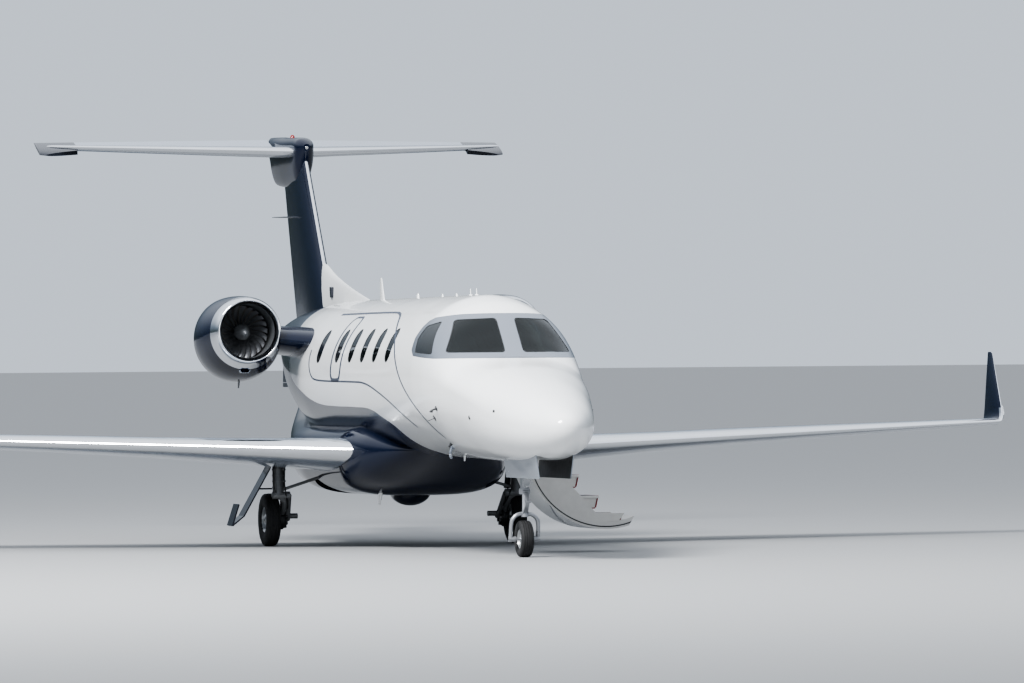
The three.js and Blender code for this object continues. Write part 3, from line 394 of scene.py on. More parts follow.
def hull_solid(start, end, swell=0.0, count=HULL_SPOKES):
    stations = [start]
    while stations[-1] < end - 0.02:
        pitch = NOSE_PITCH if stations[-1] < 4.3 else HULL_PITCH
        fine = 0.004 + 0.12 * stations[-1]
        stations.append(min(stations[-1] + min(pitch, fine), end))
    return skin_through([oval(a, *hull_row(a), count=count, swell=swell) for a in stations])


def hull_side(station, z, swell=0.0):
    """How far out the port skin lies at a station and height."""
    top, bottom, half, wide, square = hull_row(station)
    reach = (top - wide if z > wide else wide - bottom) + swell
    s = min(abs(z - wide) / reach, 1.0) ** (1 / square)
    return (half + swell) * math.sqrt(1 - s * s) ** square


# Hull paint: gloss white over navy under a clear coat. The navy's edge is masked off as one long
# curve from under the cockpit, along the cabin, and up round the root of the fin.
NAVY = (0.004, 0.007, 0.019, 1)
WHITE = (0.80, 0.81, 0.81, 1)
HULL_Y = (-7.82, 7.82)
PAINT_Z = (0.9, 3.6)
# A silver band follows the navy's edge round the root of the fin
BAND_SILVER = (0.20, 0.235, 0.28, 1)
BAND_WIDE, BAND_FROM = 0.03, 2.2
NAVY_EDGE = [
    (4.0, 0.90), (4.36, 0.99), (4.56, 1.115), (4.81, 1.185), (5.0, 1.30), (5.16, 1.44), (5.53, 1.55),
    (5.97, 1.641), (6.72, 1.662), (7.8, 1.67), (8.53, 1.691), (9.02, 1.75), (9.37, 1.827), (9.9, 1.95),
    (10.5, 2.25), (10.82, 2.66), (10.92, 2.80), (10.98, 2.88), (11.6, 2.93), (12.2, 3.3), (12.6, 3.6),
]
DUSTY = (0.55, 0.55, 0.53, 1)
EDGE_SOFT = 0.0008


def noise(tree, place, scale, detail, roughness=0.5):
    node = wired(tree, "TexNoise", Vector=place, Scale=scale, Detail=detail, Roughness=roughness)
    return node.outputs["Fac"]


def finish(name, color, roughness, metallic=0.0, grain=6.0, drift=0.12, bump=0.0, **own):
    """A material whose colour and roughness drift a little over the surface, as real ones do."""
    material, tree, shader = principled(name)
    shader.inputs["Metallic"].default_value = metallic
    for key, value in own.items():
        shader.inputs[key.replace("_", " ")].default_value = value
    place = wired(tree, "TexCoord").outputs["Object"]
    cloud = noise(tree, place, grain, 5.0)
    shade = ranged(tree, cloud, 0, 1, 1 - drift, 1 + drift * 0.6)
    grey = wired(tree, "CombineColor", Red=shade, Green=shade, Blue=shade).outputs[0]
    plug(tree, shader.inputs["Base Color"], color_mix(tree, 1.0, (*color, 1), grey, "MULTIPLY"))
    plug(tree, shader.inputs["Roughness"], ranged(tree, cloud, 0, 1, roughness * 0.75, roughness * 1.3))
    if bump:
        fine = noise(tree, place, grain * 14, 3.0)
        relief = wired(tree, "Bump", Strength=bump, Distance=0.002, Height=fine)
        plug(tree, shader.inputs["Normal"], relief.outputs[0])
    return material


def worked(tree, operation, first, second):
    return wired(tree, "Math", {"operation": operation}, i0=first, i1=second).outputs[0]


def two_tone(name):
    """Gloss paint, white above the masked edge and navy below it, with faint rain streaks."""
    material, tree, shader = principled(name)
    shader.inputs["Coat Weight"].default_value = 0.5
    shader.inputs["Coat Roughness"].default_value = 0.03
    place = wired(tree, "TexCoord").outputs["Object"]
    split = wired(tree, "SeparateXYZ", Vector=place)
    along = split.outputs["Y"]
    curve = wired(tree, "FloatCurve", Value=ranged(tree, along, *HULL_Y))
    line = curve.mapping.curves[0]
    for station, z in NAVY_EDGE:
        share = (station - NOSE_TO_MIDDLE - HULL_Y[0]) / (HULL_Y[1] - HULL_Y[0])
        line.points.new(share, (z - PAINT_Z[0]) / (PAINT_Z[1] - PAINT_Z[0]))
    line.points[0].location = (0.0, 0.0)
    line.points[len(line.points) - 1].location = (1.0, 1.0)
    curve.mapping.update()
    above = worked(tree, "SUBTRACT", ranged(tree, split.outputs["Z"], *PAINT_Z), curve.outputs[0])
    mask = ranged(tree, above, -EDGE_SOFT, EDGE_SOFT)
    streak = wired(tree, "Mapping", Vector=place, Scale=(9.0, 0.7, 9.0)).outputs[0]
    worn = ranged(tree, noise(tree, streak, 2.0, 4.0), 0.45, 0.85, 0.0, 0.10)
    laid = color_mix(tree, mask, NAVY, color_mix(tree, worn, WHITE, DUSTY))
    near_edge = ranged(tree, above, BAND_WIDE, BAND_WIDE + 0.001, 1.0, 0.0)
    aft = ranged(tree, along, BAND_FROM, BAND_FROM + 0.5)
    band = worked(tree, "MULTIPLY", worked(tree, "MULTIPLY", near_edge, mask), aft)
    plug(tree, shader.inputs["Base Color"], color_mix(tree, band, laid, BAND_SILVER))
    film = noise(tree, place, 1.3, 6.0, 0.6)
    plug(tree, shader.inputs["Roughness"], ranged(tree, film, 0, 1, 0.10, 0.24))
    peel = wired(tree, "Bump", Strength=0.02, Distance=0.001, Height=noise(tree, place, 420.0, 1.0))
    plug(tree, shader.inputs["Normal"], peel.outputs[0])
    return material


hull_paint = two_tone("hull_paint")
cabin_lining = finish("cabin_lining", (0.62, 0.58, 0.50), 0.6, grain=40.0, drift=0.08, bump=0.25)
PANE_CORNER = 0.045
# One side's windscreen from ahead, its side pane and the six cabin windows from the side
WINDSCREEN = [(0.100, 2.280), (0.725, 2.280), (0.535, 2.655), (0.100, 2.672)]
SIDE_PANE = [(2.975, 2.262), (3.560, 2.285), (3.655, 2.440), (3.590, 2.590), (3.250, 2.640)]
WINDOW_STATIONS = [4.875, 5.520, 6.150, 6.790, 7.490, 8.500]
WINDOW_HALF, WINDOW_LOW, WINDOW_HIGH = 0.130, 2.180, 2.575
# From where to where the cuts reach: out to the side, aft through the nose, and out to port
SIDE_CUT = (0.30, 1.20)
SCREEN_CUT = (2.10, 3.33)
DOOR_CUT = (0.15, 1.10)
DOORWAY = rounded([(3.739, 1.194), (4.491, 1.194), (4.491, 2.686), (3.739, 2.686)], 0.02)
HATCH = rounded([(7.265, 2.0), (7.715, 2.0), (7.715, 2.705), (7.265, 2.705)], 0.125)


def window_outline(station, grow=0.0, steps=14):
    half = WINDOW_HALF + grow
    low, high = WINDOW_LOW + WINDOW_HALF, WINDOW_HIGH - WINDOW_HALF
    turns = [math.pi * i / steps for i in range(steps + 1)]
    bottom = [(station - half * math.cos(t), low - half * math.sin(t)) for t in turns]
    return bottom + [(station + half * math.cos(t), high + half * math.sin(t)) for t in turns]


def side_block(outline, hand=PORT):
    """An outline on one side of the hull, as a solid that reaches through that side only."""
    return mirrored(outline_block(outline, "side", *SIDE_CUT), hand)


def door_block(outline):
    return outline_block(outline, "side", *DOOR_CUT)


def cockpit_openings(hand, grow=0.0):
    screen = outline_block(rounded(spread_out(WINDSCREEN, grow), PANE_CORNER), "front", *SCREEN_CUT)
    return [mirrored(screen, hand), side_block(rounded(spread_out(SIDE_PANE, grow), PANE_CORNER), hand)]


def lined(face):
    """The paint is outside; what lies deeper than the skin is the cabin's lining."""
    middle = face.calc_center_median()
    station = middle.y + NOSE_TO_MIDDLE
    if station < 2.25 or station > CABIN_TO + 0.03:
        return 0
    top, bottom, half, wide, square = hull_row(station)
    reach = top - wide if middle.z > wide else wide - bottom
    across, up = abs(middle.x) / half, abs(middle.z - wide) / reach
    deep = across ** (2 / square) + up ** (2 / square) < 0.95
    return 1 if deep else 0


# The bay of the nose wheel, and the hollow behind the cabin with its thinner wall
NOSE_BAY = (-0.19, 0.19, 0.62, 2.14, 0.0, 1.40)
TAIL_BAY_TO, TAIL_WALL = 13.6, 0.06
shell = carved(
    hull_solid(0.0, TAIL_TO),
    hull_solid(COCKPIT_FROM, CABIN_TO, -WALL),
    hull_solid(CABIN_TO + 0.1, TAIL_BAY_TO, -TAIL_WALL),
    box_block(*NOSE_BAY),
    door_block(DOORWAY),
)
for hand in SIDES:
    windows = [side_block(window_outline(s), hand) for s in WINDOW_STATIONS]
    shell = carved(shell, *cockpit_openings(hand), *windows)
hatch = kept(shell, side_block(HATCH, STARBOARD))
piece("exit_hatch_skin", hatch, "white_paint", hull_paint, cabin_lining, node="exit_hatch", part=lined)
hull_nodes = ["nose_section", "cockpit_shell", "cabin_shell", "tail_cone"]
shell = carved(shell, side_block(spread_out(HATCH, 0.004), STARBOARD))
piece("fuselage_skin", shell, "white_paint", hull_paint, cabin_lining, node=hull_nodes, part=lined)

# Glazing: stretched acrylic panes set flush in the skin. The cockpit panes sit in one bare metal
# surround that is screwed on over the paint, and the cabin panes in black seals.
tinted_glass = finish(
    "tinted_glass", (0.035, 0.05, 0.055), 0.02, drift=0.05, Transmission_Weight=0.9, IOR=1.38
)
satin_metal = finish("satin_metal", (0.34, 0.37, 0.42), 0.22, 0.85, grain=3.0, drift=0.05)
black_rubber = finish("black_rubber", (0.02, 0.021, 0.022), 0.55, grain=60.0, drift=0.2, bump=0.2)
SURROUND = [
    (2.00, 2.217), (2.44, 2.217), (2.90, 2.215), (3.30, 2.232), (3.60, 2.250), (3.74, 2.32), (3.80, 2.46),
    (3.76, 2.58), (3.68, 2.645), (3.55, 2.682), (3.29, 2.700), (3.09, 2.717), (2.95, 2.724), (2.00, 2.724),
]
PANE_GAP, SEAL_WIDE = 0.003, 0.011
COCKPIT_SPAN, CABIN_SPAN = (2.1, 3.9), (4.6, 8.9)


def hull_film(start, end, outer, inner):
    """A thin sheet that follows the hull between two depths."""
    return carved(hull_solid(start, end, outer), hull_solid(start - 0.1, end + 0.1, inner))


surround = kept(hull_film(*COCKPIT_SPAN, 0.0015, -0.004), outline_block(SURROUND, "side", -1.2, 1.2))
for hand in SIDES:
    surround = carved(surround, *cockpit_openings(hand))
# It stops short of the doorway on the port side
surround = carved(surround, door_block(spread_out(DOORWAY, 0.012)))
piece("windscreen_surround", surround, "bright_metal", satin_metal)
cockpit_film = hull_film(*COCKPIT_SPAN, -0.001, -0.014)
cockpit_seal_film = hull_film(*COCKPIT_SPAN, 0.0008, -0.012)
cabin_film = hull_film(*CABIN_SPAN, -0.002, -0.012)
seal_film = hull_film(*CABIN_SPAN, 0.0008, -0.012)
# Seal, pane and the node that the pane stands in for
COCKPIT_PANES = [
    ("windscreen_seal_", "windscreen_pane_", "windscreen_"),
    ("side_pane_seal_", "side_pane_", "cockpit_side_window_"),
]
for hand, side in SIDES.items():
    openings = zip(cockpit_openings(hand, -PANE_GAP), cockpit_openings(hand, -SEAL_WIDE))
    for (seal_name, pane_name, node), (rim, inner) in zip(COCKPIT_PANES, openings):
        seal = carved(kept(cockpit_seal_film, rim), inner)
        piece(seal_name + side, seal, "panel_plastic", black_rubber)
        pane = kept(cockpit_film, inner)
        piece(pane_name + side, pane, "window_glass", tinted_glass, node=node + side)
    panes, seals = [], []
    for station in WINDOW_STATIONS:
        inner = side_block(window_outline(station, -SEAL_WIDE), hand)
        panes.append(kept(cabin_film, inner))
        seals.append(carved(kept(seal_film, side_block(window_outline(station), hand)), inner))
    piece(
        "cabin_panes_" + side, gathered(*panes), "window_glass", tinted_glass, node="cabin_glazing_" + side
    )
    piece("cabin_seals_" + side, gathered(*seals), "panel_plastic", black_rubber)

# Pinstripes and the rim round the exit hatch: vinyl tape, a fraction of a millimetre proud.
stripe_grey = finish("stripe_grey", (0.035, 0.045, 0.07), 0.3, grain=12.0, drift=0.15)
STRIPE = 0.011
# Where a stripe climbs the side it is laid this many times wider
UPRIGHT_WIDER = 2.2
UPPER_STRIPE = [
    (8.76, 2.76), (7.0, 2.763), (5.95, 2.76), (5.62, 2.745), (5.35, 2.69), (4.98, 2.54), (4.67, 2.375),
    (4.37, 2.175), (4.03, 1.94), (3.65, 1.70), (3.35, 1.50), (3.10, 1.32),
]
LOWER_STRIPE = [
    (9.03, 2.34), (9.00, 2.22), (8.93, 2.12), (8.80, 2.03), (8.60, 1.985), (8.0, 1.967), (6.6, 1.957),
    (6.02, 1.945), (5.53, 1.885), (4.90, 1.75), (4.42, 1.59), (4.05, 1.44),
]


def through(points, steps=6):
    """A smooth curve through the points."""
    points = [Vector(p) for p in points]
    path = []
    for a, b, c, d in zip([points[0], *points], points, points[1:], [*points[2:], points[-1]]):
        for i in range(steps):
            t = i / steps
            pull = (2 * a - 5 * b + 4 * c - d) * t * t + (3 * b - a - 3 * c + d) * t**3
            path.append((2 * b + (c - a) * t + pull) / 2)
    return [*path, points[-1]]


def ribbon_outline(points, half):
    """The outline of a band that runs along a curve."""
    path = through(points)
    sides = []
    for here, nearby in zip(path, [*path[1:], 2 * path[-1] - path[-2]]):
        across = (nearby - here).normalized().orthogonal() * half
        sides.append(Vector((across.x * UPRIGHT_WIDER, across.y)))
    left = [(p + s).to_tuple() for p, s in zip(path, sides)]
    right = [(p - s).to_tuple() for p, s in zip(path, sides)]
    return left + right[::-1]


stripe_film = hull_film(2.9, 9.15, 0.0009, -0.002)
HATCH_RIM = rounded([(7.20, 1.955), (7.78, 1.955), (7.78, 2.728), (7.20, 2.728)], 0.17)
for hand, side in SIDES.items():
    bands = [
        kept(stripe_film, side_block(ribbon_outline(path, STRIPE), hand))
        for path in (UPPER_STRIPE, LOWER_STRIPE)
    ]
    if hand == PORT:
        door_bands = [kept(band, door_block(spread_out(DOORWAY, -0.010))) for band in bands]
        bands = [carved(band, door_block(spread_out(DOORWAY, 0.004))) for band in bands]
    else:
        bands.append(carved(kept(stripe_film, side_block(HATCH_RIM, hand)), side_block(HATCH, hand)))
    piece("pinstripes_" + side, gathered(*bands), "navy_paint", stripe_grey)

# Belly fairing: glass-fibre shells, screwed on under the cabin round the wing, painted gloss navy.
# The blister under it houses a scoop, and two round wells take the main wheels.
navy_paint = finish(
    "navy_paint", NAVY[:3], 0.12, grain=2.0, drift=0.15, Specular_IOR_Level=0.35, Coat_Weight=0.12,
    Coat_Roughness=0.03, bump=0.01
)
FAIRING = [
    (5.65, 1.180, 1.090, 0.300, 1.160, 1.0),
    (6.0, 1.300, 0.905, 0.640, 1.160, 0.8),
    (6.5, 1.420, 0.690, 0.900, 1.140, 0.62),
    (7.0, 1.480, 0.612, 1.000, 1.120, 0.58),
    (8.95, 1.480, 0.604, 1.000, 1.120, 0.58),
    (9.66, 1.480, 0.640, 0.960, 1.140, 0.6),
    (10.86, 1.560, 0.860, 0.740, 1.250, 0.72),
    (11.9, 1.750, 1.290, 0.430, 1.560, 0.85),
    (12.6, 1.960, 1.780, 0.160, 1.900, 1.0),
]
BLISTER = [
    (7.15, 0.700, 0.600, 0.060, 0.640, 1.0),
    (7.35, 0.700, 0.515, 0.190, 0.640, 1.0),
    (7.6, 0.700, 0.480, 0.225, 0.640, 1.0),
    (7.9, 0.700, 0.520, 0.190, 0.640, 1.0),
    (8.2, 0.700, 0.600, 0.060, 0.640, 1.0),
]
WELL_X, WELL_STATION, WELL_RADIUS, WELL_ROOF = 0.6, 8.53, 0.35, 0.86


def faired_solid(rows, pitch, count):
    """A solid faired through its rows, with a ring about every pitch."""
    row_at = faired(rows)
    start, length = rows[0][0], rows[-1][0] - rows[0][0]
    steps = max(int(length / pitch), 2)
    stations = [start + length * i / steps for i in range(steps + 1)]
    return skin_through([oval(a, *row_at(a), count=count) for a in stations])


def round_bar(start, end, radius, end_radius=None, segments=24):
    """A round bar between two points, the same all along or tapered."""
    made = bmesh.new()
    along = end - start
    bmesh.ops.create_cone(
        made, cap_ends=True, segments=segments, radius1=radius,
        radius2=radius if end_radius is None else end_radius, depth=along.length,
    )
    turn = Vector((0, 0, 1)).rotation_difference(along).to_matrix().to_4x4()
    return moved(made, Matrix.Translation((start + end) / 2) @ turn)


wells = [
    round_bar(at(hand * WELL_X, WELL_STATION, 0), at(hand * WELL_X, WELL_STATION, WELL_ROOF), WELL_RADIUS)
    for hand in SIDES
]
belly = carved(faired_solid(FAIRING, 0.09, 72), faired_solid(BLISTER, 0.06, 40), how="UNION")
belly = carved(belly, hull_solid(5.3, 13.0, -0.012, 48), *wells)
piece("belly_fairing_shell", belly, "navy_paint", navy_paint, node="belly_fairing")

# Wings: aluminium boxes, painted light above and below, with a polished leading edge that is heated
# against ice. Flaps and ailerons hang on hinges behind them, and the tips turn up into winglets.
wing_paint = finish(
    "wing_paint", (0.30, 0.34, 0.40), 0.22, 0.35, grain=3.0, drift=0.1, Coat_Weight=0.5, Coat_Roughness=0.05
)
polished = finish("polished_metal", (0.78, 0.80, 0.83), 0.09, 1.0, grain=5.0, drift=0.05, bump=0.01)
# Offset, chord, thickness, and how far the trailing edge lies below the leading edge
WING = [
    (0.6, 2.76, 0.15, 0.205), (1.0, 2.49, 0.148, 0.190), (2.0, 2.18, 0.135, 0.146), (3.0, 1.87, 0.126, 0.102),
    (4.2, 1.604, 0.124, 0.050), (5.3, 1.36, 0.122, 0.041), (7.86, 0.787, 0.115, 0.024),
]
SECTION_STEPS = 22
# One metre out: height and leading edge, and how much each grows with every metre further
WING_Z, WING_RISE, WING_LEAD, WING_SWEEP = 1.161, 0.034, 6.61, 0.3847
BLUNT = 0.004


def section(x, z, lead, chord, thick, tilt=0.0, drop=0.0, grow=0.0):
    """A symmetrical wing section. Tilt turns its upper side, 0 for a wing and 90 for an upright fin."""
    up = Vector((-math.sin(math.radians(tilt)), 0, math.cos(math.radians(tilt))))

    def point(share, hand):
        powers = (0.2969 * math.sqrt(share) - 0.126 * share - 0.3516 * share**2
                  + 0.2843 * share**3 - 0.1036 * share**4)
        half = 5 * thick * chord * powers + BLUNT / 2 * share + grow
        along = lead - grow + share * (chord + 2 * grow)
        return at(x, along, z - drop * share) + up * hand * half

    shares = [(1 + math.cos(i * math.pi / SECTION_STEPS)) / 2 for i in range(SECTION_STEPS + 1)]
    return [point(s, 1) for s in shares] + [point(s, -1) for s in shares[-2::-1]]


def wing_row(x):
    i = min(bisect.bisect_right([row[0] for row in WING], x), len(WING) - 1) - 1
    a, b = WING[i], WING[i + 1]
    t = (x - a[0]) / (b[0] - a[0])
    chord, thick, drop = (p + (q - p) * t for p, q in zip(a[1:], b[1:]))
    z, lead = WING_Z + (x - 1) * WING_RISE, WING_LEAD + (x - 1) * WING_SWEEP
    return {"x": x, "z": z, "lead": lead, "chord": chord, "thick": thick, "drop": drop}


def wing_point(x, share):
    row = wing_row(x)
    return at(x, row["lead"] + share * row["chord"], row["z"] - share * row["drop"])


def hinge_tool(start, end, radius, spare):
    """A barrel about a hinge line, joined to all that lies behind it."""
    along = (end - start).normalized()
    over = along.cross(Vector((0, 1, 0))).normalized()
    aft = over.cross(along)
    length = (end - start).length
    slab = bmesh.new()
    bmesh.ops.create_cube(slab, size=1)
    bmesh.ops.scale(slab, vec=(3, 1, length + 2 * spare), verts=slab.verts)
    bmesh.ops.translate(slab, vec=(1.5, 0, length / 2), verts=slab.verts)
    turn = Matrix((aft, over, along)).transposed().to_4x4()
    moved(slab, Matrix.Translation(start) @ turn)
    if aft.cross(over).dot(along) < 0:
        bmesh.ops.reverse_faces(slab, faces=slab.faces)
    barrel = round_bar(start - along * spare, end + along * spare, radius + spare, segments=32)
    return carved(slab, barrel, how="UNION")


LEADING_SHARE = 0.07
PANEL_GAP = 0.006
FLAP = (wing_point(1.12, 0.76), wing_point(5.24, 0.76), 0.096)
AILERON = (wing_point(5.36, 0.77), wing_point(7.52, 0.77), 0.042)
# Offset, height, leading edge, chord, thickness, tilt and drop of the winglet's sections
WINGLET = [
    (7.8604, 1.394, 9.249, 0.787, 0.115, 0, 0.024), (7.885, 1.399, 9.255, 0.784, 0.11, 18, 0.022),
    (7.900, 1.408, 9.262, 0.780, 0.105, 40, 0.020), (7.913, 1.427, 9.272, 0.773, 0.10, 60, 0.010),
    (7.921, 1.450, 9.285, 0.765, 0.095, 75, 0.0), (7.925, 1.500, 9.312, 0.733, 0.09, 82, 0.0),
    (7.927, 1.560, 9.345, 0.690, 0.085, 87, 0.0), (7.938, 2.235, 9.735, 0.185, 0.08, 88, 0.0),
    (7.939, 2.252, 9.775, 0.130, 0.05, 88, 0.0),
]


def strip_ahead(share, spare, rows):
    """All that lies ahead of a line along a wing, seen from above."""
    edge = [(row["x"], row["lead"] + share * row["chord"] - spare) for row in rows]
    outline = [(0.4, edge[0][1]), *edge, (9.0, edge[-1][1]), (9.0, 4.0), (0.4, 4.0)]
    return outline_block(outline, "top", 0, 6)


wing_stations = [0.6, 0.8, *[1.0 + 0.25 * i for i in range(28)], 7.86]
wing_rows = [wing_row(x) for x in sorted({*wing_stations, 4.2, 5.3})]
whole_wing = skin_through([section(**row) for row in wing_rows])
leading = kept(whole_wing, strip_ahead(LEADING_SHARE, SPARE, wing_rows))
LEG_TOP = 1.085
leg_slot = box_block(0.9, 1.545, 8.17, 8.41, 0, LEG_TOP)
wing_box = carved(whole_wing, strip_ahead(LEADING_SHARE, 0, wing_rows), leg_slot)
flap = kept(wing_box, hinge_tool(*FLAP, 0))
aileron = kept(wing_box, hinge_tool(*AILERON, 0))
# The slot round the aileron is a hair wider than the one round the flap
AILERON_GAP = PANEL_GAP + 0.0003
wing_box = carved(wing_box, hinge_tool(*AILERON, AILERON_GAP), hinge_tool(*FLAP, PANEL_GAP))
winglet_lead = faired([row[1:4] for row in WINGLET])


def tip_edge(face):
    """The winglet's first few percent of chord is polished."""
    middle = face.calc_center_median()
    lead, chord = winglet_lead(middle.z)
    return 1 if middle.y + NOSE_TO_MIDDLE < lead + 0.07 * chord else 0


winglet = skin_through([section(*row) for row in WINGLET])
pair("wing_box_", wing_box, "navy_paint", wing_paint, node="wing_")
pair("polished_edge_", leading, "bright_metal", polished, node="wing_leading_edge_")
pair("flap_skin_", flap, "white_paint", wing_paint, body="flap_", node="flap_")
pair("aileron_skin_", aileron, "white_paint", wing_paint, body="aileron_", node="aileron_")
pair("winglet_skin_", winglet, "navy_paint", navy_paint, polished, node="winglet_", part=tip_edge)

# Tail: fin and rudder painted navy, a white dorsal fin ahead of them, and the stabilizer across the
# top in a bullet fairing, with its polished edge. The elevators hang down, as they do with no power on.
white_paint = finish(
    "white_paint", WHITE[:3], 0.16, grain=2.0, drift=0.05, Coat_Weight=0.6, Coat_Roughness=0.03, bump=0.01
)
# Of the fin's two edges: a station, the height there, and the lean aft with every metre up
FIN_EDGES = [(12.21, 3.418, 0.767), (13.94, 2.99, 0.386)]


def fin_row(z, thick):
    lead, trail = (station + (z - height) * lean for station, height, lean in FIN_EDGES)
    return (0.0, z, lead, trail - lead, thick, 90)


def fin_point(z, share):
    row = fin_row(z, 0.1)
    return at(0, row[2] + share * row[3], z)


fin_heights = [(2.5, 0.09), (3.0, 0.0956), (3.4, 0.1), (3.9, 0.1036), (4.4, 0.1072), (4.786, 0.11)]
aft_hull = hull_solid(11.0, TAIL_TO, -0.004)
fin = carved(skin_through([section(*fin_row(*h)) for h in fin_heights]), aft_hull)
RUDDER = (fin_point(3.06, 0.7), fin_point(4.37, 0.7), 0.070)
rudder = carved(kept(fin, hinge_tool(*RUDDER, 0)), hull_solid(12.0, TAIL_TO, 0.008))
fin = carved(fin, hinge_tool(*RUDDER, PANEL_GAP))


def fin_edge(face):
    middle = face.calc_center_median()
    row = fin_row(middle.z, 0.1)
    return 1 if middle.z > 3.4 and middle.y + NOSE_TO_MIDDLE < row[2] + 0.012 * row[3] else 0


piece("fin_skin", fin, "navy_paint", navy_paint, polished, node="fin", part=fin_edge)
piece("rudder_skin", rudder, "navy_paint", navy_paint, body="rudder", node="rudder")
VENTRAL = [(0.0, 2.5, 12.6, 2.06, 0.06, 90), (0.0, 1.88, 13.45, 1.27, 0.07, 90)]
VENTRAL_RUDDER = (at(0, 14.33, 1.94), at(0, 14.33, 2.225), 0.034)
ventral = carved(skin_through([section(*row) for row in VENTRAL]), aft_hull)
lower = kept(ventral, hinge_tool(*VENTRAL_RUDDER, 0))
ventral = carved(ventral, hinge_tool(*VENTRAL_RUDDER, PANEL_GAP))
piece("ventral_fin_skin", ventral, "navy_paint", navy_paint, node="ventral_fin")
piece("ventral_rudder_skin", lower, "navy_paint", navy_paint, body="ventral_rudder", node="ventral_rudder")
DORSAL = [
    (9.7, 2.950, 2.850, 0.014, 2.880, 1.0), (10.6, 3.090, 2.700, 0.034, 2.750, 1.0),
    (11.5, 3.262, 2.600, 0.062, 2.650, 1.0), (12.16, 3.425, 2.500, 0.080, 2.600, 1.0),
    (12.7, 3.470, 2.500, 0.080, 2.600, 1.0),
]
fin_room = skin_through([section(*fin_row(*h), grow=SPARE) for h in fin_heights])
dorsal = carved(faired_solid(DORSAL, 0.1, 32), hull_solid(9.4, 13.0, -0.004), fin_room)
piece("dorsal_fin_skin", dorsal, "white_paint", white_paint, node="dorsal_fin")
TAIL_HALF = 3.05


def tail_row(x):
    share = abs(x) / TAIL_HALF
    return {
        "z": 4.86 + 0.125 * share, "lead": 13.32 + 1.86 * share, "chord": 1.62 - 1.153 * share,
        "thick": 0.085 + 0.005 * share,
    }


def tail_point(x, share):
    row = tail_row(x)
    return at(x, row["lead"] + share * row["chord"], row["z"])


ELEVATOR = (tail_point(0.19, 0.66), tail_point(3.2, 0.66), 0.052)
ELEVATOR_DROOP = math.radians(22)
HORN_X, HORN_STATION = 2.57, 15.14
# The dark paint of an elevator's tip begins this far out from the middle
DARK_FROM = 2.55
tail_offsets = [-TAIL_HALF + 0.305 * i for i in range(21)]
stabilizer = skin_through([section(x, **tail_row(x)) for x in tail_offsets])
half_tail = kept(stabilizer, box_block(0, 4, 12, 17, 4, 6))
horn = kept(half_tail, box_block(HORN_X, 3.5, HORN_STATION, 16.5, 4.5, 5.5))
elevator = kept(half_tail, hinge_tool(*ELEVATOR, 0), box_block(-0.01, 3.5, 12, 16.5, 4.5, 5.5))
elevator = carved(carved(elevator, horn, how="UNION"), box_block(-0.138, 0.138, 14, 16, 4.3, 5.3))
hinge, hinge_end = ELEVATOR[:2]
turn = Matrix.Rotation(ELEVATOR_DROOP, 4, hinge_end - hinge)
bmesh.ops.bisect_plane(
    elevator, geom=elevator.verts[:] + elevator.edges[:] + elevator.faces[:],
    plane_co=(DARK_FROM, 0, 0), plane_no=(1, 0, 0),
)
moved(elevator, Matrix.Translation(hinge) @ turn @ Matrix.Translation(-hinge))
notch_corner = (HORN_X - PANEL_GAP * 2, 3.5, HORN_STATION - PANEL_GAP)
for hand in SIDES:
    tool = mirrored(hinge_tool(*ELEVATOR, PANEL_GAP), hand)
    stabilizer = carved(stabilizer, tool, mirrored(box_block(*notch_corner, 16.5, 4.5, 5.5), hand))
dark_paint = finish("dark_paint", (0.012, 0.015, 0.024), 0.2, grain=4.0, drift=0.2, Coat_Weight=0.4)


def tip_dark(face):
    return 1 if abs(face.calc_center_median().x) > DARK_FROM else 0


def edge_bright(face):
    """The first tenth of the chord is bare metal, and the rest is painted."""
    middle = face.calc_center_median()
    row = tail_row(middle.x)
    return 0 if middle.y + NOSE_TO_MIDDLE < row["lead"] + 0.10 * row["chord"] else 1


tail_finish = (polished, wing_paint)
piece("stabilizer_skin", stabilizer, "bright_metal", *tail_finish, node="stabilizer", part=edge_bright)
pair(
    "elevator_skin_", elevator, "white_paint", wing_paint, dark_paint,
    body="elevator_", node="elevator_", part=tip_dark,
)
BULLET = [
    (13.17, 4.950, 4.850, 0.040, 4.915, 1.0), (13.24, 4.990, 4.700, 0.092, 4.915, 1.0),
    (13.35, 5.028, 4.520, 0.126, 4.915, 0.85), (13.5, 5.040, 4.435, 0.130, 4.915, 0.78),
    (14.2, 5.060, 4.430, 0.130, 4.915, 0.78), (14.5, 5.075, 4.440, 0.125, 4.915, 0.8),
    (14.85, 5.085, 4.470, 0.110, 4.915, 0.85), (15.06, 5.090, 4.700, 0.090, 4.925, 1.0),
    (15.28, 5.094, 4.870, 0.055, 4.970, 1.0),
]
tail_room = skin_through([section(x, **tail_row(x), grow=SPARE) for x in tail_offsets])
bullet = carved(faired_solid(BULLET, 0.035, 48), tail_room, fin_room)
piece("bullet_skin", bullet, "navy_paint", navy_paint, node="tail_bullet")

# Engines: a composite nacelle in gloss navy with a polished aluminium lip and a grey liner in the
# duct, a pylon to the fuselage, and a wide-chord titanium fan with its spinner on the shaft.
ENGINE_X, ENGINE_Z = 1.6, 2.55
# The polished lip turns inwards at its front, ends in the duct, and ends outside
LIP_FRONT, LIP_INSIDE_TO, LIP_TO = 9.13, 9.235, 9.285
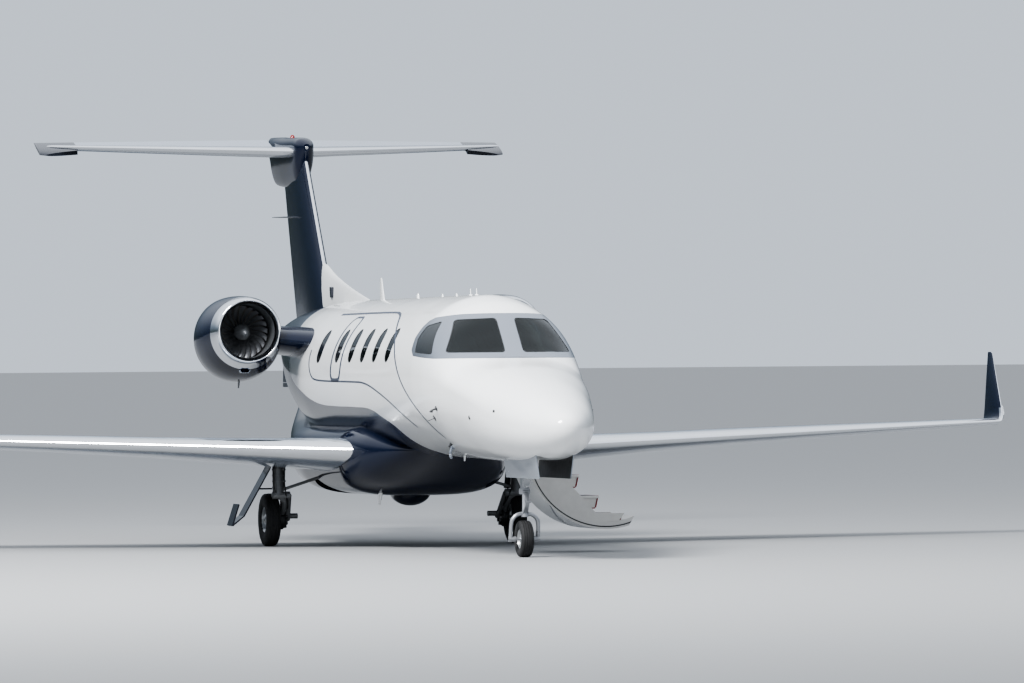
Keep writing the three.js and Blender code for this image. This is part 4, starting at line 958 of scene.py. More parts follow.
# Station, top, bottom, half width, widest height and toe, out of the duct, over the lip and back in
NACELLE_PATH = [
    (9.64, 2.896, 2.224, 0.336, 2.560, 0.0), (9.48, 2.895, 2.239, 0.328, 2.567, 0.0),
    (9.32, 2.897, 2.253, 0.322, 2.575, 0.0), (9.24, 2.901, 2.249, 0.326, 2.575, 0.002),
    (9.19, 2.909, 2.241, 0.334, 2.575, 0.005), (9.14, 2.922, 2.228, 0.347, 2.574, 0.011),
    (9.112, 2.932, 2.215, 0.358, 2.573, 0.016), (9.100, 2.941, 2.203, 0.368, 2.572, 0.020),
    (9.105, 2.950, 2.191, 0.380, 2.570, 0.024), (9.130, 2.961, 2.174, 0.395, 2.568, 0.025),
    (9.180, 2.974, 2.152, 0.412, 2.563, 0.025), (9.29, 2.988, 2.112, 0.439, 2.553, 0.022),
    (9.42, 2.994, 2.056, 0.466, 2.532, 0.019), (9.55, 2.998, 2.010, 0.489, 2.510, 0.016),
    (9.70, 3.000, 1.978, 0.506, 2.492, 0.013), (9.85, 3.000, 1.962, 0.512, 2.482, 0.010),
    (10.02, 2.997, 1.963, 0.502, 2.481, 0.004), (10.2, 2.990, 1.975, 0.480, 2.482, -0.002),
    (10.4, 2.975, 1.999, 0.446, 2.486, -0.010), (10.6, 2.955, 2.030, 0.408, 2.490, -0.018),
    (10.8, 2.924, 2.070, 0.371, 2.494, -0.027), (11.0, 2.885, 2.115, 0.335, 2.498, -0.036),
    (11.2, 2.832, 2.170, 0.297, 2.499, -0.048), (11.41, 2.772, 2.228, 0.260, 2.500, -0.061),
    (11.42, 2.762, 2.238, 0.250, 2.500, -0.062), (11.41, 2.728, 2.272, 0.228, 2.500, -0.061),
    (11.2, 2.758, 2.242, 0.258, 2.500, -0.048), (11.0, 2.792, 2.208, 0.292, 2.500, -0.036),
    (10.6, 2.852, 2.148, 0.352, 2.500, -0.018), (9.9, 2.890, 2.200, 0.345, 2.545, 0.0),
    (9.64, 2.896, 2.224, 0.336, 2.560, 0.0),
]
ENGINE_SPOKES = 80
duct_grey = finish("duct_grey", (0.09, 0.095, 0.10), 0.5, 0.3, grain=25.0, drift=0.15)
fan_metal = finish("fan_metal", (0.40, 0.41, 0.43), 0.34, 0.85, grain=14.0, drift=0.15)
spinner_paint = finish("spinner_paint", (0.30, 0.31, 0.32), 0.30, 0.5, grain=9.0, drift=0.15)
engine_metal = finish("engine_metal", (0.35, 0.33, 0.31), 0.35, 0.9, grain=9.0, drift=0.25, bump=0.03)
FAN_STATION, FAN_Z, FAN_RADIUS, FAN_HUB, BLADES = 9.64, 2.56, 0.318, 0.098, 22
# Ahead of the fan and how wide, from the spinner's tip back to its rim, then the hub
SPINNER = [
    (-0.220, 0.0), (-0.217, 0.012), (-0.205, 0.025), (-0.180, 0.042), (-0.140, 0.062), (-0.100, 0.079),
    (-0.060, 0.092), (-0.052, 0.097), (0.050, 0.098), (0.060, 0.094), (0.060, 0.0),
]


def lathed(profile, middle, axis, steps=48):
    """A profile of (along, radius) turned about an axis through a middle."""
    made = bmesh.new()
    along = Vector(axis).normalized()
    out = along.orthogonal().normalized()
    verts = [made.verts.new(middle + along * a + out * r) for a, r in profile]
    edges = [made.edges.new(pair) for pair in zip(verts, verts[1:])]
    bmesh.ops.spin(
        made, geom=verts + edges, cent=middle, axis=along, angle=math.tau, steps=steps, use_merge=True,
    )
    bmesh.ops.remove_doubles(made, verts=made.verts, dist=1e-5)
    bmesh.ops.recalc_face_normals(made, faces=made.faces)
    return made


def nacelle_coat(face):
    """Navy outside, polished over the lip, and the liner's grey inside the duct."""
    middle = face.calc_center_median()
    station = middle.y + NOSE_TO_MIDDLE
    outwards = Vector((abs(middle.x) - ENGINE_X, 0, middle.z - ENGINE_Z))
    facing = Vector((face.normal.x * math.copysign(1, middle.x), 0, face.normal.z)).dot(outwards)
    if facing > 0 or station < LIP_FRONT:
        return 1 if station < LIP_TO else 0
    return 1 if station < LIP_INSIDE_TO else 2


def fan_blade(angle):
    """One blade, leaning more and swept forward a little towards its tip."""
    rings = []
    for i in range(8):
        share = i / 7
        r = FAN_HUB - 0.012 + share * (FAN_RADIUS - FAN_HUB + 0.012)
        lean = 0.40 + 0.72 * share
        half = 0.030 + 0.006 * math.sin(math.pi * share * 0.8)
        thick = 0.0042 * (1 - 0.65 * share)
        bend = angle + 0.25 * share**2
        ring = []
        for j in range(12):
            turn = math.tau * j / 12
            s, t = half * math.cos(turn), thick * math.sin(turn) - 0.007 * (1 - math.cos(turn) ** 2)
            along = s * math.cos(lean) - t * math.sin(lean)
            across = s * math.sin(lean) + t * math.cos(lean)
            x = r * math.cos(bend) - across * math.sin(bend)
            z = r * math.sin(bend) + across * math.cos(bend)
            ring.append(at(ENGINE_X + x, FAN_STATION + along - 0.008 * share, FAN_Z + z))
        rings.append(ring)
    return skin_through(rings)


def repainted(node, material):
    """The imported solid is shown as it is, in a material."""
    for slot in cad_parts[node].material_slots:
        slot.material = material


PYLON = [(0.40, 2.390, 9.200, 2.500, 0.168), (1.20, 2.476, 9.281, 2.104, 0.159)]
nacelle = skin_through([
    oval(*ring[:5], 1.0, ENGINE_X + ring[5], ENGINE_SPOKES) for ring in through(NACELLE_PATH, 4)
])
fan_blades = gathered(*[fan_blade(math.tau * i / BLADES) for i in range(BLADES)])
spinner = lathed(SPINNER, at(ENGINE_X, FAN_STATION, FAN_Z), (0, 1, 0))
shaft = round_bar(at(ENGINE_X, 9.7, FAN_Z), at(ENGINE_X, 9.84, FAN_Z), 0.04)
pylon = carved(skin_through([section(*row) for row in PYLON]), hull_solid(8.9, 12.2, -0.01, 48))
# A six-sided cooling inlet under each nacelle, and the drain mast behind it
hexagon = [(0.072, 0.0), (0.046, 0.030), (-0.046, 0.030), (-0.072, 0.0), (-0.046, -0.030), (0.046, -0.030)]
inlet = skin_through([
    [at(ENGINE_X + 0.03 + x * grow, station, 2.098 + z * grow) for x, z in hexagon]
    for station, grow in ((9.42, 1.0), (9.325, 1.0), (9.315, 0.96), (9.315, 0.80), (9.33, 0.76), (9.41, 0.70))
])
drain = skin_through([
    section(ENGINE_X, z, lead, chord, 0.16, 90)
    for z, lead, chord in ((2.02, 9.77, 0.12), (1.93, 9.80, 0.09), (1.885, 9.83, 0.06))
])
pair(
    "nacelle_skin_", nacelle, "navy_paint", navy_paint, polished, duct_grey,
    node=["nacelle_", "inlet_lip_"], part=nacelle_coat,
)
pair("fan_blades_", fan_blades, "engine_metal", fan_metal, body="fan_", node="fan_")
pair("fan_spinner_", gathered(spinner, shaft), "engine_metal", spinner_paint, body="fan_")
pair("pylon_skin_", pylon, "navy_paint", navy_paint, node="pylon_")
pair("cooling_inlet_", inlet, "bright_metal", satin_metal)
pair("drain_mast_", drain, "gear_metal", dark_paint)
for side in SIDES.values():
    repainted("engine_" + side, engine_metal)

# Landing gear: forged and painted steel legs with chromed pistons, aluminium wheels, and ribbed
# tyres. Hoses and links are bolted along the legs. The doors are hinged panels, linked to the legs.
gear_paint = finish("gear_paint", (0.20, 0.205, 0.21), 0.38, 0.35, grain=18.0, drift=0.25, bump=0.05)
dark_gear = finish("dark_gear", (0.05, 0.052, 0.055), 0.42, 0.5, grain=18.0, drift=0.3, bump=0.05)
silver_paint = finish("silver_paint", (0.36, 0.37, 0.39), 0.30, 0.6, grain=16.0, drift=0.12, bump=0.04)
chrome = finish("chrome", (0.85, 0.86, 0.88), 0.06, 1.0, grain=8.0, drift=0.03)
tyre_rubber = finish("tyre_rubber", (0.018, 0.018, 0.019), 0.78, grain=30.0, drift=0.35, bump=0.35)
wheel_metal = finish("wheel_metal", (0.55, 0.56, 0.57), 0.34, 0.75, grain=20.0, drift=0.2)
NOSE_WHEEL, MAIN_WHEEL = 2.05, 8.53
NOSE_RADIUS, MAIN_RADIUS, MAIN_X = 0.205, 0.315, 1.51


def hose(points, radius, steps=5):
    """A round hose along a smooth curve, with closed ends."""
    path = through(points, steps)
    rings = []
    side_on = (path[1] - path[0]).orthogonal().normalized()
    for here, before, after in zip(path, [path[0], *path], [*path[1:], path[-1]]):
        along = (after - before).normalized()
        side_on = (side_on - along * side_on.dot(along)).normalized()
        up = along.cross(side_on)
        angles = [math.tau * i / 12 for i in range(12)]
        rings.append([here + (side_on * math.cos(t) + up * math.sin(t)) * radius for t in angles])
    return skin_through(rings)


def link_plate(start, end, wide, thin, narrow=0.6):
    """A forged link that tapers from its first pin to its second, with bevelled edges."""
    made = bmesh.new()
    bmesh.ops.create_cube(made, size=1)
    length = (end - start).length
    for vert in made.verts:
        taper = narrow if vert.co.z > 0 else 1.0
        vert.co = Vector((vert.co.x * wide * taper, vert.co.y * thin, vert.co.z * (length + 0.03)))
    turn = (end - start).to_track_quat("Z", "Y").to_matrix().to_4x4()
    return moved(bevelled(made, thin * 0.25), Matrix.Translation((start + end) / 2) @ turn)


def crossbar(x0, x1, station, z, *radii, segments=24):
    """A round bar that lies across the aircraft."""
    return round_bar(at(x0, station, z), at(x1, station, z), *radii, segments=segments)


def tyre_profile(radius, width, rim, grooves):
    """A tyre's section, round the outside from bead to bead, with grooves in its crown."""
    half = width / 2
    wall = [
        (-half * 0.66, rim * 0.96), (-half * 0.76, rim * 1.02), (-half * 0.90, rim * 1.16),
        (-half * 0.985, (radius + rim) / 2 * 0.98), (-half * 0.96, radius * 0.88),
        (-half * 0.86, radius * 0.94), (-half * 0.72, radius * 0.975),
    ]
    crown = []
    for g in grooves:
        for w, sink in ((g - 0.05, 0.0), (g - 0.04, 0.008), (g + 0.04, 0.008), (g + 0.05, 0.0)):
            crown.append((w * half, radius * (1 - 0.045 * abs(w) ** 2.2) - sink))
    return wall + crown + [(-w, r) for w, r in wall[::-1]]


def wheel_set(x, station, radius, width, rim, hand_out):
    """Tyre, and its wheel with a dished web, bolts and a hub cap."""
    middle = at(x, station, radius)
    axis = (1, 0, 0)
    tyre = lathed(tyre_profile(radius, width, rim, (-0.55, -0.2, 0.2, 0.55)), middle, axis, 64)
    half = width / 2
    dish = [
        (-half * 0.70, rim * 1.03), (-half * 0.74, rim * 0.98), (-half * 0.62, rim * 0.93),
        (-half * 0.34, rim * 0.86), (-half * 0.30, rim * 0.60), (-half * 0.52, rim * 0.46),
        (-half * 0.62, rim * 0.40), (-half * 0.62, 0.016),
    ]
    web = lathed(dish + [(-a, r) for a, r in dish[::-1]], middle, axis, 48)
    bolts = []
    for i in range(9):
        turn = math.tau * i / 9
        for out in (-1, 1):
            reach = Vector((0, math.cos(turn), math.sin(turn))) * rim * 0.70
            start = middle + reach + Vector((out * half * 0.26, 0, 0))
            bolts.append(round_bar(start, start + Vector((out * half * 0.14, 0, 0)), 0.009, 0.008, 6))
    cap = round_bar(
        middle + Vector((hand_out * half * 0.5, 0, 0)), middle + Vector((hand_out * half * 0.72, 0, 0)),
        rim * 0.34, rim * 0.26, 32,
    )
    return tyre, gathered(web, *bolts, cap)


for name, x, station, radius, width, rim, hand in (
    ("nose_wheel", 0.0, NOSE_WHEEL, NOSE_RADIUS, 0.145, 0.105, PORT),
    ("main_wheel_left", MAIN_X, MAIN_WHEEL, MAIN_RADIUS, 0.172, 0.150, PORT),
    ("main_wheel_right", -MAIN_X, MAIN_WHEEL, MAIN_RADIUS, 0.172, 0.150, STARBOARD),
):
    tyre, wheel = wheel_set(x, station, radius, width, rim, hand)
    piece(name + "_tyre", tyre, "tyre", tyre_rubber, body=name, node=name, crease=40)
    piece(name + "_rim", wheel, "gear_metal", wheel_metal, body=name)

STRUT = 2.015
BAY_PIN = 0.1896
SCISSOR_Z, SCISSOR_STATION = 0.62, STRUT - 0.15


def strut(z, station=STRUT, x=0.0):
    return at(x, station, z)


def collar(low, high, radius, bore):
    """A ring round the strut."""
    return carved(
        round_bar(strut(low), strut(high), radius, segments=40),
        round_bar(strut(low - 0.01), strut(high + 0.01), bore),
    )


barrel = round_bar(strut(0.70), strut(1.39), 0.048, segments=40)
nose_leg = gathered(
    carved(barrel, round_bar(strut(0.69), strut(1.10), 0.0284)),
    crossbar(-BAY_PIN, BAY_PIN, STRUT, 1.30, 0.030),
    round_bar(strut(0.90, STRUT - 0.02), strut(1.29, 1.32), 0.022),
    crossbar(-BAY_PIN, BAY_PIN, 1.32, 1.29, 0.022),
    collar(0.88, 0.93, 0.062, 0.047),
    collar(1.04, 1.07, 0.058, 0.047),
    crossbar(-0.05, 0.05, STRUT - 0.04, 0.955, 0.020),
)
piece("nose_leg_casting", nose_leg, "gear_metal", silver_paint, node="nose_leg")
lamp_glass = finish(
    "lamp_glass", (0.9, 0.92, 0.94), 0.05, drift=0.03, Transmission_Weight=0.7, Coat_Weight=0.5
)
TAXI_BOWL = [
    (0.0, 0.001), (0.0, 0.02), (-0.010, 0.036), (-0.034, 0.050), (-0.050, 0.052), (-0.052, 0.048),
    (-0.047, 0.046), (-0.046, 0.001),
]
taxi_lamp = lathed(TAXI_BOWL, strut(0.83, STRUT - 0.055), (0, 1, 0))
piece("taxi_lamp", taxi_lamp, "bright_metal", lamp_glass)

scissor_pin = strut(SCISSOR_Z, SCISSOR_STATION)
fork_parts = [
    collar(0.705, 0.765, 0.064, 0.0495),
    link_plate(strut(0.735, STRUT - 0.058), scissor_pin, 0.062, 0.020),
    link_plate(strut(0.50, STRUT - 0.028), scissor_pin, 0.062, 0.020),
    crossbar(-0.034, 0.034, SCISSOR_STATION, SCISSOR_Z, 0.013),
    crossbar(-0.04, 0.04, STRUT - 0.062, 0.735, 0.013),
    crossbar(-0.177, 0.177, NOSE_WHEEL, NOSE_RADIUS, 0.015),
]
for hand in SIDES:
    arch = [
        strut(0.478), strut(0.482, x=hand * 0.05), strut(0.462, x=hand * 0.105),
        strut(0.415, STRUT + 0.002, hand * 0.142), strut(0.36, STRUT + 0.008, hand * 0.153),
        strut(0.285, STRUT + 0.02, hand * 0.155), strut(NOSE_RADIUS, NOSE_WHEEL, hand * 0.155),
    ]
    fork_parts.append(hose(arch, 0.024, 8))
    fork_parts.append(crossbar(hand * 0.175, hand * 0.095, NOSE_WHEEL, NOSE_RADIUS, 0.030))
    fork_parts.append(crossbar(hand * 0.177, hand * 0.150, NOSE_WHEEL, NOSE_RADIUS, 0.036, segments=6))
fork_parts.append(round_bar(strut(0.45), strut(0.53), 0.042, 0.030, 32))
fork = gathered(*fork_parts)
piece("nose_fork_casting", fork, "gear_metal", silver_paint, body="nose_steering", node="nose_fork")
piston = round_bar(strut(0.50), strut(1.095), 0.0279, segments=40)
piece("nose_piston", piston, "bright_metal", chrome, body="nose_steering")

door_silver = finish("door_silver", (0.32, 0.35, 0.39), 0.25, 0.4, grain=2.0, drift=0.04, Coat_Weight=0.3)
NOSE_DOOR = [(0.172, 0.890), (0.184, 0.890), (0.217, 1.150), (0.205, 1.150)]
nose_door = carved(outline_block(NOSE_DOOR, "front", 0.64, 2.12), hull_solid(0.3, 2.6, SPARE))


# Each door's inner face, the side turned towards the bay, is made near black.
def inner_face_dark(face):
    return 1 if face.normal.x * face.calc_center_median().x < -0.1 else 0


pair(
    "nose_door_leaf_", nose_door, "white_paint", door_silver, dark_gear,
    node="nose_gear_door_", part=inner_face_dark,
)

LEG_X, LEG_STATION, KNEE = 1.46, 8.26, 0.61
INNER_FACE = MAIN_X - 0.086
under_wing = box_block(0.9, 3, 7, 10, 0, LEG_TOP - SPARE)
fairing_room = faired_solid(
    [(a, t + SPARE, b - SPARE, h + SPARE, w, s) for a, t, b, h, w, s in FAIRING], 0.09, 72
)
leg_path = [
    at(1.465, LEG_STATION - 0.005, 0.605), at(1.38, 8.29, 0.545), at(1.372, 8.40, 0.44),
    at(1.375, MAIN_WHEEL, 0.33),
]
leg_shapes = [
    kept(
        round_bar(at(LEG_X, LEG_STATION, KNEE), at(LEG_X, LEG_STATION + 0.05, LEG_TOP), 0.066, 0.060, 40),
        under_wing,
    ),
    crossbar(1.32, 1.53, LEG_STATION, KNEE, 0.046, segments=32),
    crossbar(1.312, 1.322, LEG_STATION, KNEE, 0.030, segments=6),
    crossbar(1.528, 1.538, LEG_STATION, KNEE, 0.030, segments=6),
    hose(leg_path, 0.034, 6),
    round_bar(at(1.325, LEG_STATION, KNEE), at(1.29, MAIN_WHEEL, MAIN_RADIUS), 0.028, 0.030),
    crossbar(INNER_FACE, MAIN_X + 0.0688, MAIN_WHEEL, MAIN_RADIUS, 0.0158),
    crossbar(1.170, INNER_FACE - 0.06, MAIN_WHEEL, 0.357, 0.032, segments=32),
]
for i in range(5):
    low = at(LEG_X, LEG_STATION + 0.006 + 0.0075 * i, 0.70 + 0.07 * i)
    leg_shapes.append(round_bar(low, low + Vector((0, 0.0015, 0.014)), 0.070, segments=40))
brace = round_bar(at(1.42, LEG_STATION + 0.02, 0.672), at(0.9, LEG_STATION + 0.06, 0.832), 0.018)
leg_shapes.append(carved(brace, fairing_room))
leg_shapes += [crossbar(1.38, 1.42, 8.2, z, 0.012, segments=6) for z in (0.78, 0.92)]
SHOCK_LOW, SHOCK_HIGH = at(1.372, MAIN_WHEEL - 0.07, 0.42), at(1.405, LEG_STATION + 0.105, 1.0)


def shock_part(start, end, *radii):
    """A round stretch of the shock absorber, from one share of its length to another."""
    return round_bar(SHOCK_LOW.lerp(SHOCK_HIGH, start), SHOCK_LOW.lerp(SHOCK_HIGH, end), *radii, segments=32)


shock = gathered(
    shock_part(0.45, 1.0, 0.036, 0.038), shock_part(0.42, 0.47, 0.042), shock_part(0.0, 0.10, 0.034)
)
brake_shapes = [
    crossbar(INNER_FACE - near, INNER_FACE - far, MAIN_WHEEL, MAIN_RADIUS, *radii, segments=48)
    for near, far, *radii in ((0.095, 0.070, 0.100, 0.112), (0.070, 0.045, 0.118), (0.041, 0.012, 0.113))
]
for i in range(6):
    turn = math.tau * (i + 0.5) / 6
    spot = (MAIN_WHEEL + 0.078 * math.cos(turn), MAIN_RADIUS + 0.078 * math.sin(turn))
    brake_shapes.append(crossbar(INNER_FACE - 0.118, INNER_FACE - 0.083, *spot, 0.022, segments=16))
PRESSURE_HOSE = [
    (1.405, 8.19, 1.05), (1.395, 8.185, 0.92), (1.400, 8.178, 0.78), (1.385, 8.19, 0.66),
    (1.345, 8.28, 0.52), (1.318, 8.40, 0.44), (1.318, 8.47, 0.40),
]
SENSOR_HOSE = [(1.525, 8.20, 1.04), (1.532, 8.19, 0.90), (1.528, 8.19, 0.74), (1.500, 8.195, 0.64)]
hoses = [hose([at(*p) for p in path], r) for path, r in ((PRESSURE_HOSE, 0.0075), (SENSOR_HOSE, 0.006))]
pair("main_leg_casting_", gathered(*leg_shapes), "gear_metal", gear_paint, node="main_leg_")
pair("shock_barrel_", shock, "gear_metal", dark_gear)
pair("shock_rod_", shock_part(0.08, 0.5, 0.022), "bright_metal", chrome)
pair("brake_pack_", gathered(*brake_shapes), "gear_metal", dark_gear)
pair("brake_hoses_", gathered(*hoses), "panel_plastic", black_rubber)
for side in SIDES.values():
    repainted("main_gear_door_" + side, navy_paint)

# Airstair: a door of the same sandwich as the hull, swung down on its sill hinge, with four treads
# between two cheeks on its inside.
DOOR_FROM, DOOR_TO, DOOR_SILL, DOOR_HEAD = 3.745, 4.485, 1.2, 2.68
HINGE_X, HINGE_Z, DOOR_OPEN = 0.452, 1.19, math.radians(119)
# Inner end, outer end and top of each tread
TREADS = [(0.62, 0.88, 1.10), (0.86, 1.10, 0.88), (1.08, 1.33, 0.64), (1.30, 1.60, 0.41)]
TREAD_FROM, TREAD_TO = 3.842, 4.388
RISER_DEEP, LEAN = 0.135, 0.03
ARC_RADIUS = 0.8486
hinge = at(HINGE_X, 0, HINGE_Z)
swing = Matrix.Translation(hinge) @ Matrix.Rotation(DOOR_OPEN, 4, "Y") @ Matrix.Translation(-hinge)
door_corners = [(DOOR_FROM, DOOR_SILL), (DOOR_TO, DOOR_SILL), (DOOR_TO, DOOR_HEAD), (DOOR_FROM, DOOR_HEAD)]
trim_panel = finish("trim_panel", (0.55, 0.54, 0.52), 0.45, grain=14.0, drift=0.12, bump=0.1)
tread_grip = finish("tread_grip", (0.10, 0.10, 0.105), 0.8, grain=80.0, drift=0.3, bump=0.5)
nosing_red = finish("nosing_red", (0.20, 0.02, 0.02), 0.4, grain=20.0, drift=0.2)
door = carved(hull_solid(3.5, 4.7), hull_solid(3.4, 4.8, -WALL))
door = kept(door, door_block(rounded(door_corners, 0.02)))
# Which faces are inside is found before the door swings down
inward = [lined(face) for face in door.faces]
door_layer = door.faces.layers.int.new("inward")
for face, inner in zip(door.faces, inward):
    face[door_layer] = inner
piece(
    "airstair_skin", moved(door, swing), "white_paint", white_paint, trim_panel,
    body="airstair", node="airstair_door", part=lambda face: face[door_layer],
)
seal_outline = rounded(spread_out(door_corners, 0.003), 0.02)
door_seal = kept(hull_film(3.6, 4.6, -0.022, -0.036), door_block(seal_outline))
door_seal = moved(carved(door_seal, door_block(spread_out(seal_outline, -0.03))), swing)
piece("airstair_seal", door_seal, "panel_plastic", black_rubber, body="airstair")
piece("door_pinstripe", moved(gathered(*door_bands), swing), "navy_paint", stripe_grey, body="airstair")
hinge_bar = round_bar(at(HINGE_X, DOOR_FROM, HINGE_Z), at(HINGE_X, DOOR_TO, HINGE_Z), 0.016)
piece("airstair_hinge", hinge_bar, "gear_metal", satin_metal, body="airstair")
# The cheeks follow the door's inside, as an arc about the hull's middle where the swing takes it
arc_middle = swing @ Vector((0, 0, 2.010))
arc = [math.radians(178 + 103 * i / 30) for i in range(31)]
cheek = [(arc_middle.x + ARC_RADIUS * math.cos(t), arc_middle.z + ARC_RADIUS * math.sin(t)) for t in arc]
cheek += [(1.62, 0.44), (1.29, 0.44), (0.6, 1.19)]
steps_room = moved(hull_solid(3.4, 4.8, -WALL - SPARE), swing)


def narrowed(block, top, middle):
    """The block with its lower corners drawn in towards the middle of the tread."""
    for vert in block.verts:
        if vert.co.z < top - 0.1:
            vert.co.x += LEAN if vert.co.x < middle else -LEAN
    return block


cheeks = gathered(*[outline_block(cheek, "front", a, a + 0.045) for a in (3.795, 4.390)])
flight, grips, nosings = [kept(cheeks, steps_room)], [], []
for x0, x1, top in TREADS:
    middle, foot = (x0 + x1) / 2, top - RISER_DEEP
    board = bevelled(box_block(x0, x1, 3.83, 4.40, top - 0.03, top), 0.006)
    riser = box_block(x0 + 0.02, x1 - 0.02, TREAD_FROM, TREAD_TO, foot, top - 0.025)
    flight += [kept(board, steps_room), kept(narrowed(riser, top, middle), steps_room)]
    grip = box_block(x0 + 0.03, x1 - 0.03, 3.86, 4.37, top - 0.001, top + 0.0025)
    grips.append(kept(grip, steps_room))
    edge = box_block(x1 - 0.022, x1 - 0.002, TREAD_FROM, TREAD_TO, foot, top + 0.003)
    sill = box_block(x0 + 0.05, x1 - 0.045, 3.838, 3.846, foot - 0.012, foot)
    nosings.append(kept(gathered(narrowed(edge, top, middle), sill), steps_room))
piece("airstair_flight", gathered(*flight), "white_paint", trim_panel, body="airstair", node="airstair_steps")
piece("tread_grips", gathered(*grips), "panel_plastic", tread_grip, body="airstair")
piece("tread_nosings", gathered(*nosings), "panel_plastic", nosing_red, body="airstair")

# Cabin: leather seats on pedestals, padded and stitched over foam, a carpeted floor, and the
# instrument panel under its glareshield, with three dark displays and two control wheels.
leather = finish("seat_leather", (0.42, 0.33, 0.24), 0.42, grain=30.0, drift=0.18, bump=0.3, Sheen_Weight=0.1)
carpet = finish("carpet", (0.16, 0.14, 0.12), 0.95, grain=120.0, drift=0.35, bump=0.6, Sheen_Weight=0.3)
panel_black = finish("panel_black", (0.018, 0.018, 0.02), 0.5, grain=40.0, drift=0.2, bump=0.2)
display_glass = finish("display_glass", (0.008, 0.012, 0.02), 0.08, grain=4.0, drift=0.2, Coat_Weight=0.5)
FLOOR_TOP = 1.3604
PAD_CUTS = 19
UPRIGHT = Vector((0, 0, 1))


def pad(middle, size, crown, channels, front):
    """A crowned pad with pulled-in corners, sewn across into channels, with a puffed front edge."""
    made = bmesh.new()
    bmesh.ops.create_cube(made, size=2)
    bmesh.ops.subdivide_edges(made, edges=made.edges[:], cuts=PAD_CUTS, use_grid_fill=True)
    for vert in made.verts:
        u, v, w = vert.co
        pull = Vector((u * (1 - 0.05 * (v * v + w * w)), v * (1 - 0.05 * (u * u + w * w)), w))
        lift = (1 - u * u) * (1 - v * v) * crown if w > 0 else 0.0
        sewn = sum(math.exp(-(((v - c) / 0.05) ** 2)) for c in channels) * (0.35 if w > 0 else 0.0)
        pull.z = w * (1 - 0.10 * (u * u + v * v)) - 0.16 * sewn * (1 - u**8)
        vert.co = Vector((pull.x * size[0], pull.y * size[1], pull.z * size[2] + lift))
    bmesh.ops.smooth_vert(
        made, verts=made.verts, factor=0.4, use_axis_x=True, use_axis_y=True, use_axis_z=True
    )
    basis = Matrix((Vector((1, 0, 0)), front[0], front[1])).transposed().to_4x4()
    moved(made, Matrix.Translation(middle) @ basis)
    bmesh.ops.recalc_face_normals(made, faces=made.faces)
    return made


def seat(name, x, station, width, faces, node=()):
    """A seat that faces aft with 1 and forward with -1: a pedestal, a back shell and three pads."""
    half = width / 2
    back = station - faces * 0.23
    low, high = sorted((back - faces * 0.02, back - faces * 0.058))
    foot, wide = half * 0.6, half * 0.88
    base = box_block(x - foot, x + foot, station - 0.18, station + 0.18, FLOOR_TOP, FLOOR_TOP + 0.30)
    behind = box_block(x - wide, x + wide, low, high, FLOOR_TOP + 0.42, FLOOR_TOP + 0.93)
    stand = gathered(bevelled(base, 0.02, 3), bevelled(behind, 0.015, 3))
    piece(name + "_frame", stand, "panel_plastic", panel_black, node=node)
    ahead = Vector((0, faces, 0))
    # Where each pad lies, its half size, crown and seams, and which way its length and its front point
    for pad_name, place, size, crown, seams, front in (
        ("_cushion", (station + faces * 0.01, 0.362), (half, 0.245, 0.062), 0.012, (-0.5, 0.0, 0.5),
         (ahead, UPRIGHT)),
        ("_back", (back + faces * 0.012, 0.665), (wide, 0.265, 0.038), 0.008, (-0.6, -0.2, 0.2),
         (UPRIGHT, ahead)),
        ("_head", (back + faces * 0.030, 0.885), (half * 0.55, 0.068, 0.026), 0.004, (), (UPRIGHT, ahead)),
    ):
        made = pad(at(x, place[0], FLOOR_TOP + place[1]), size, crown, seams, front)
        piece(name + pad_name, made, "seat_leather", leather, crease=80)


for hand, side in SIDES.items():
    seat("pilot_seat_" + side, hand * 0.300, 3.04, 0.420, -1, "cockpit_seat_" + side)
    seat("cabin_seat_1_" + side, hand * 0.395, 5.35, 0.440, 1, "cabin_seats_" + side)
    seat("cabin_seat_2_" + side, hand * 0.395, 6.50, 0.440, -1)
    seat("cabin_seat_3_" + side, hand * 0.395, 7.40, 0.440, -1)
    track = box_block(hand * 0.335, hand * 0.455, 5.35, 7.4, FLOOR_TOP, FLOOR_TOP + 0.03)
    piece("seat_track_" + side, track, "gear_metal", satin_metal)
repainted("cabin_floor", carpet)

cockpit_room = hull_solid(2.2, 4.6, -WALL - SPARE)
desk = bevelled(box_block(-0.52, 0.52, 2.42, 2.56, 1.80, 2.21), 0.015, 3)
pedestal = bevelled(box_block(-0.15, 0.15, 2.42, 2.70, FLOOR_TOP, 1.85), 0.02, 3)
desk = kept(gathered(desk, pedestal), cockpit_room)
piece("panel_and_pedestal", desk, "panel_plastic", panel_black, node="instrument_panel")
HOOD = [
    (-0.60, 2.18), (-0.50, 2.24), (0.50, 2.24), (0.60, 2.18), (0.57, 2.18), (0.48, 2.215), (-0.48, 2.215),
    (-0.57, 2.18),
]
hood = kept(outline_block(rounded(HOOD, 0.004, 3), "front", 2.33, 2.62), cockpit_room)
piece("glareshield", hood, "panel_plastic", panel_black)
screens = [box_block(x - 0.14, x + 0.14, 2.556, 2.566, 1.93, 2.14) for x in (-0.33, 0.0, 0.33)]
piece("displays", gathered(*[bevelled(s, 0.004) for s in screens]), "window_glass", display_glass)
GRIP = [(-0.13, 2.02), (-0.135, 1.95), (-0.10, 1.90), (0.0, 1.885), (0.10, 1.90), (0.135, 1.95), (0.13, 2.02)]
controls = []
for x in (-0.3, 0.3):
    controls.append(round_bar(at(x, 2.55, 1.92), at(x, 2.70, 1.90), 0.016))
    controls.append(hose([at(x + u, 2.70, z) for u, z in GRIP], 0.013))
for x in (-0.05, 0.0, 0.05):
    controls.append(round_bar(at(x, 2.60, 1.84), at(x, 2.57, 1.93), 0.006))
    controls.append(crossbar(x - 0.018, x + 0.018, 2.569, 1.93, 0.011))
piece("control_wheels", gathered(*controls), "panel_plastic", panel_black)

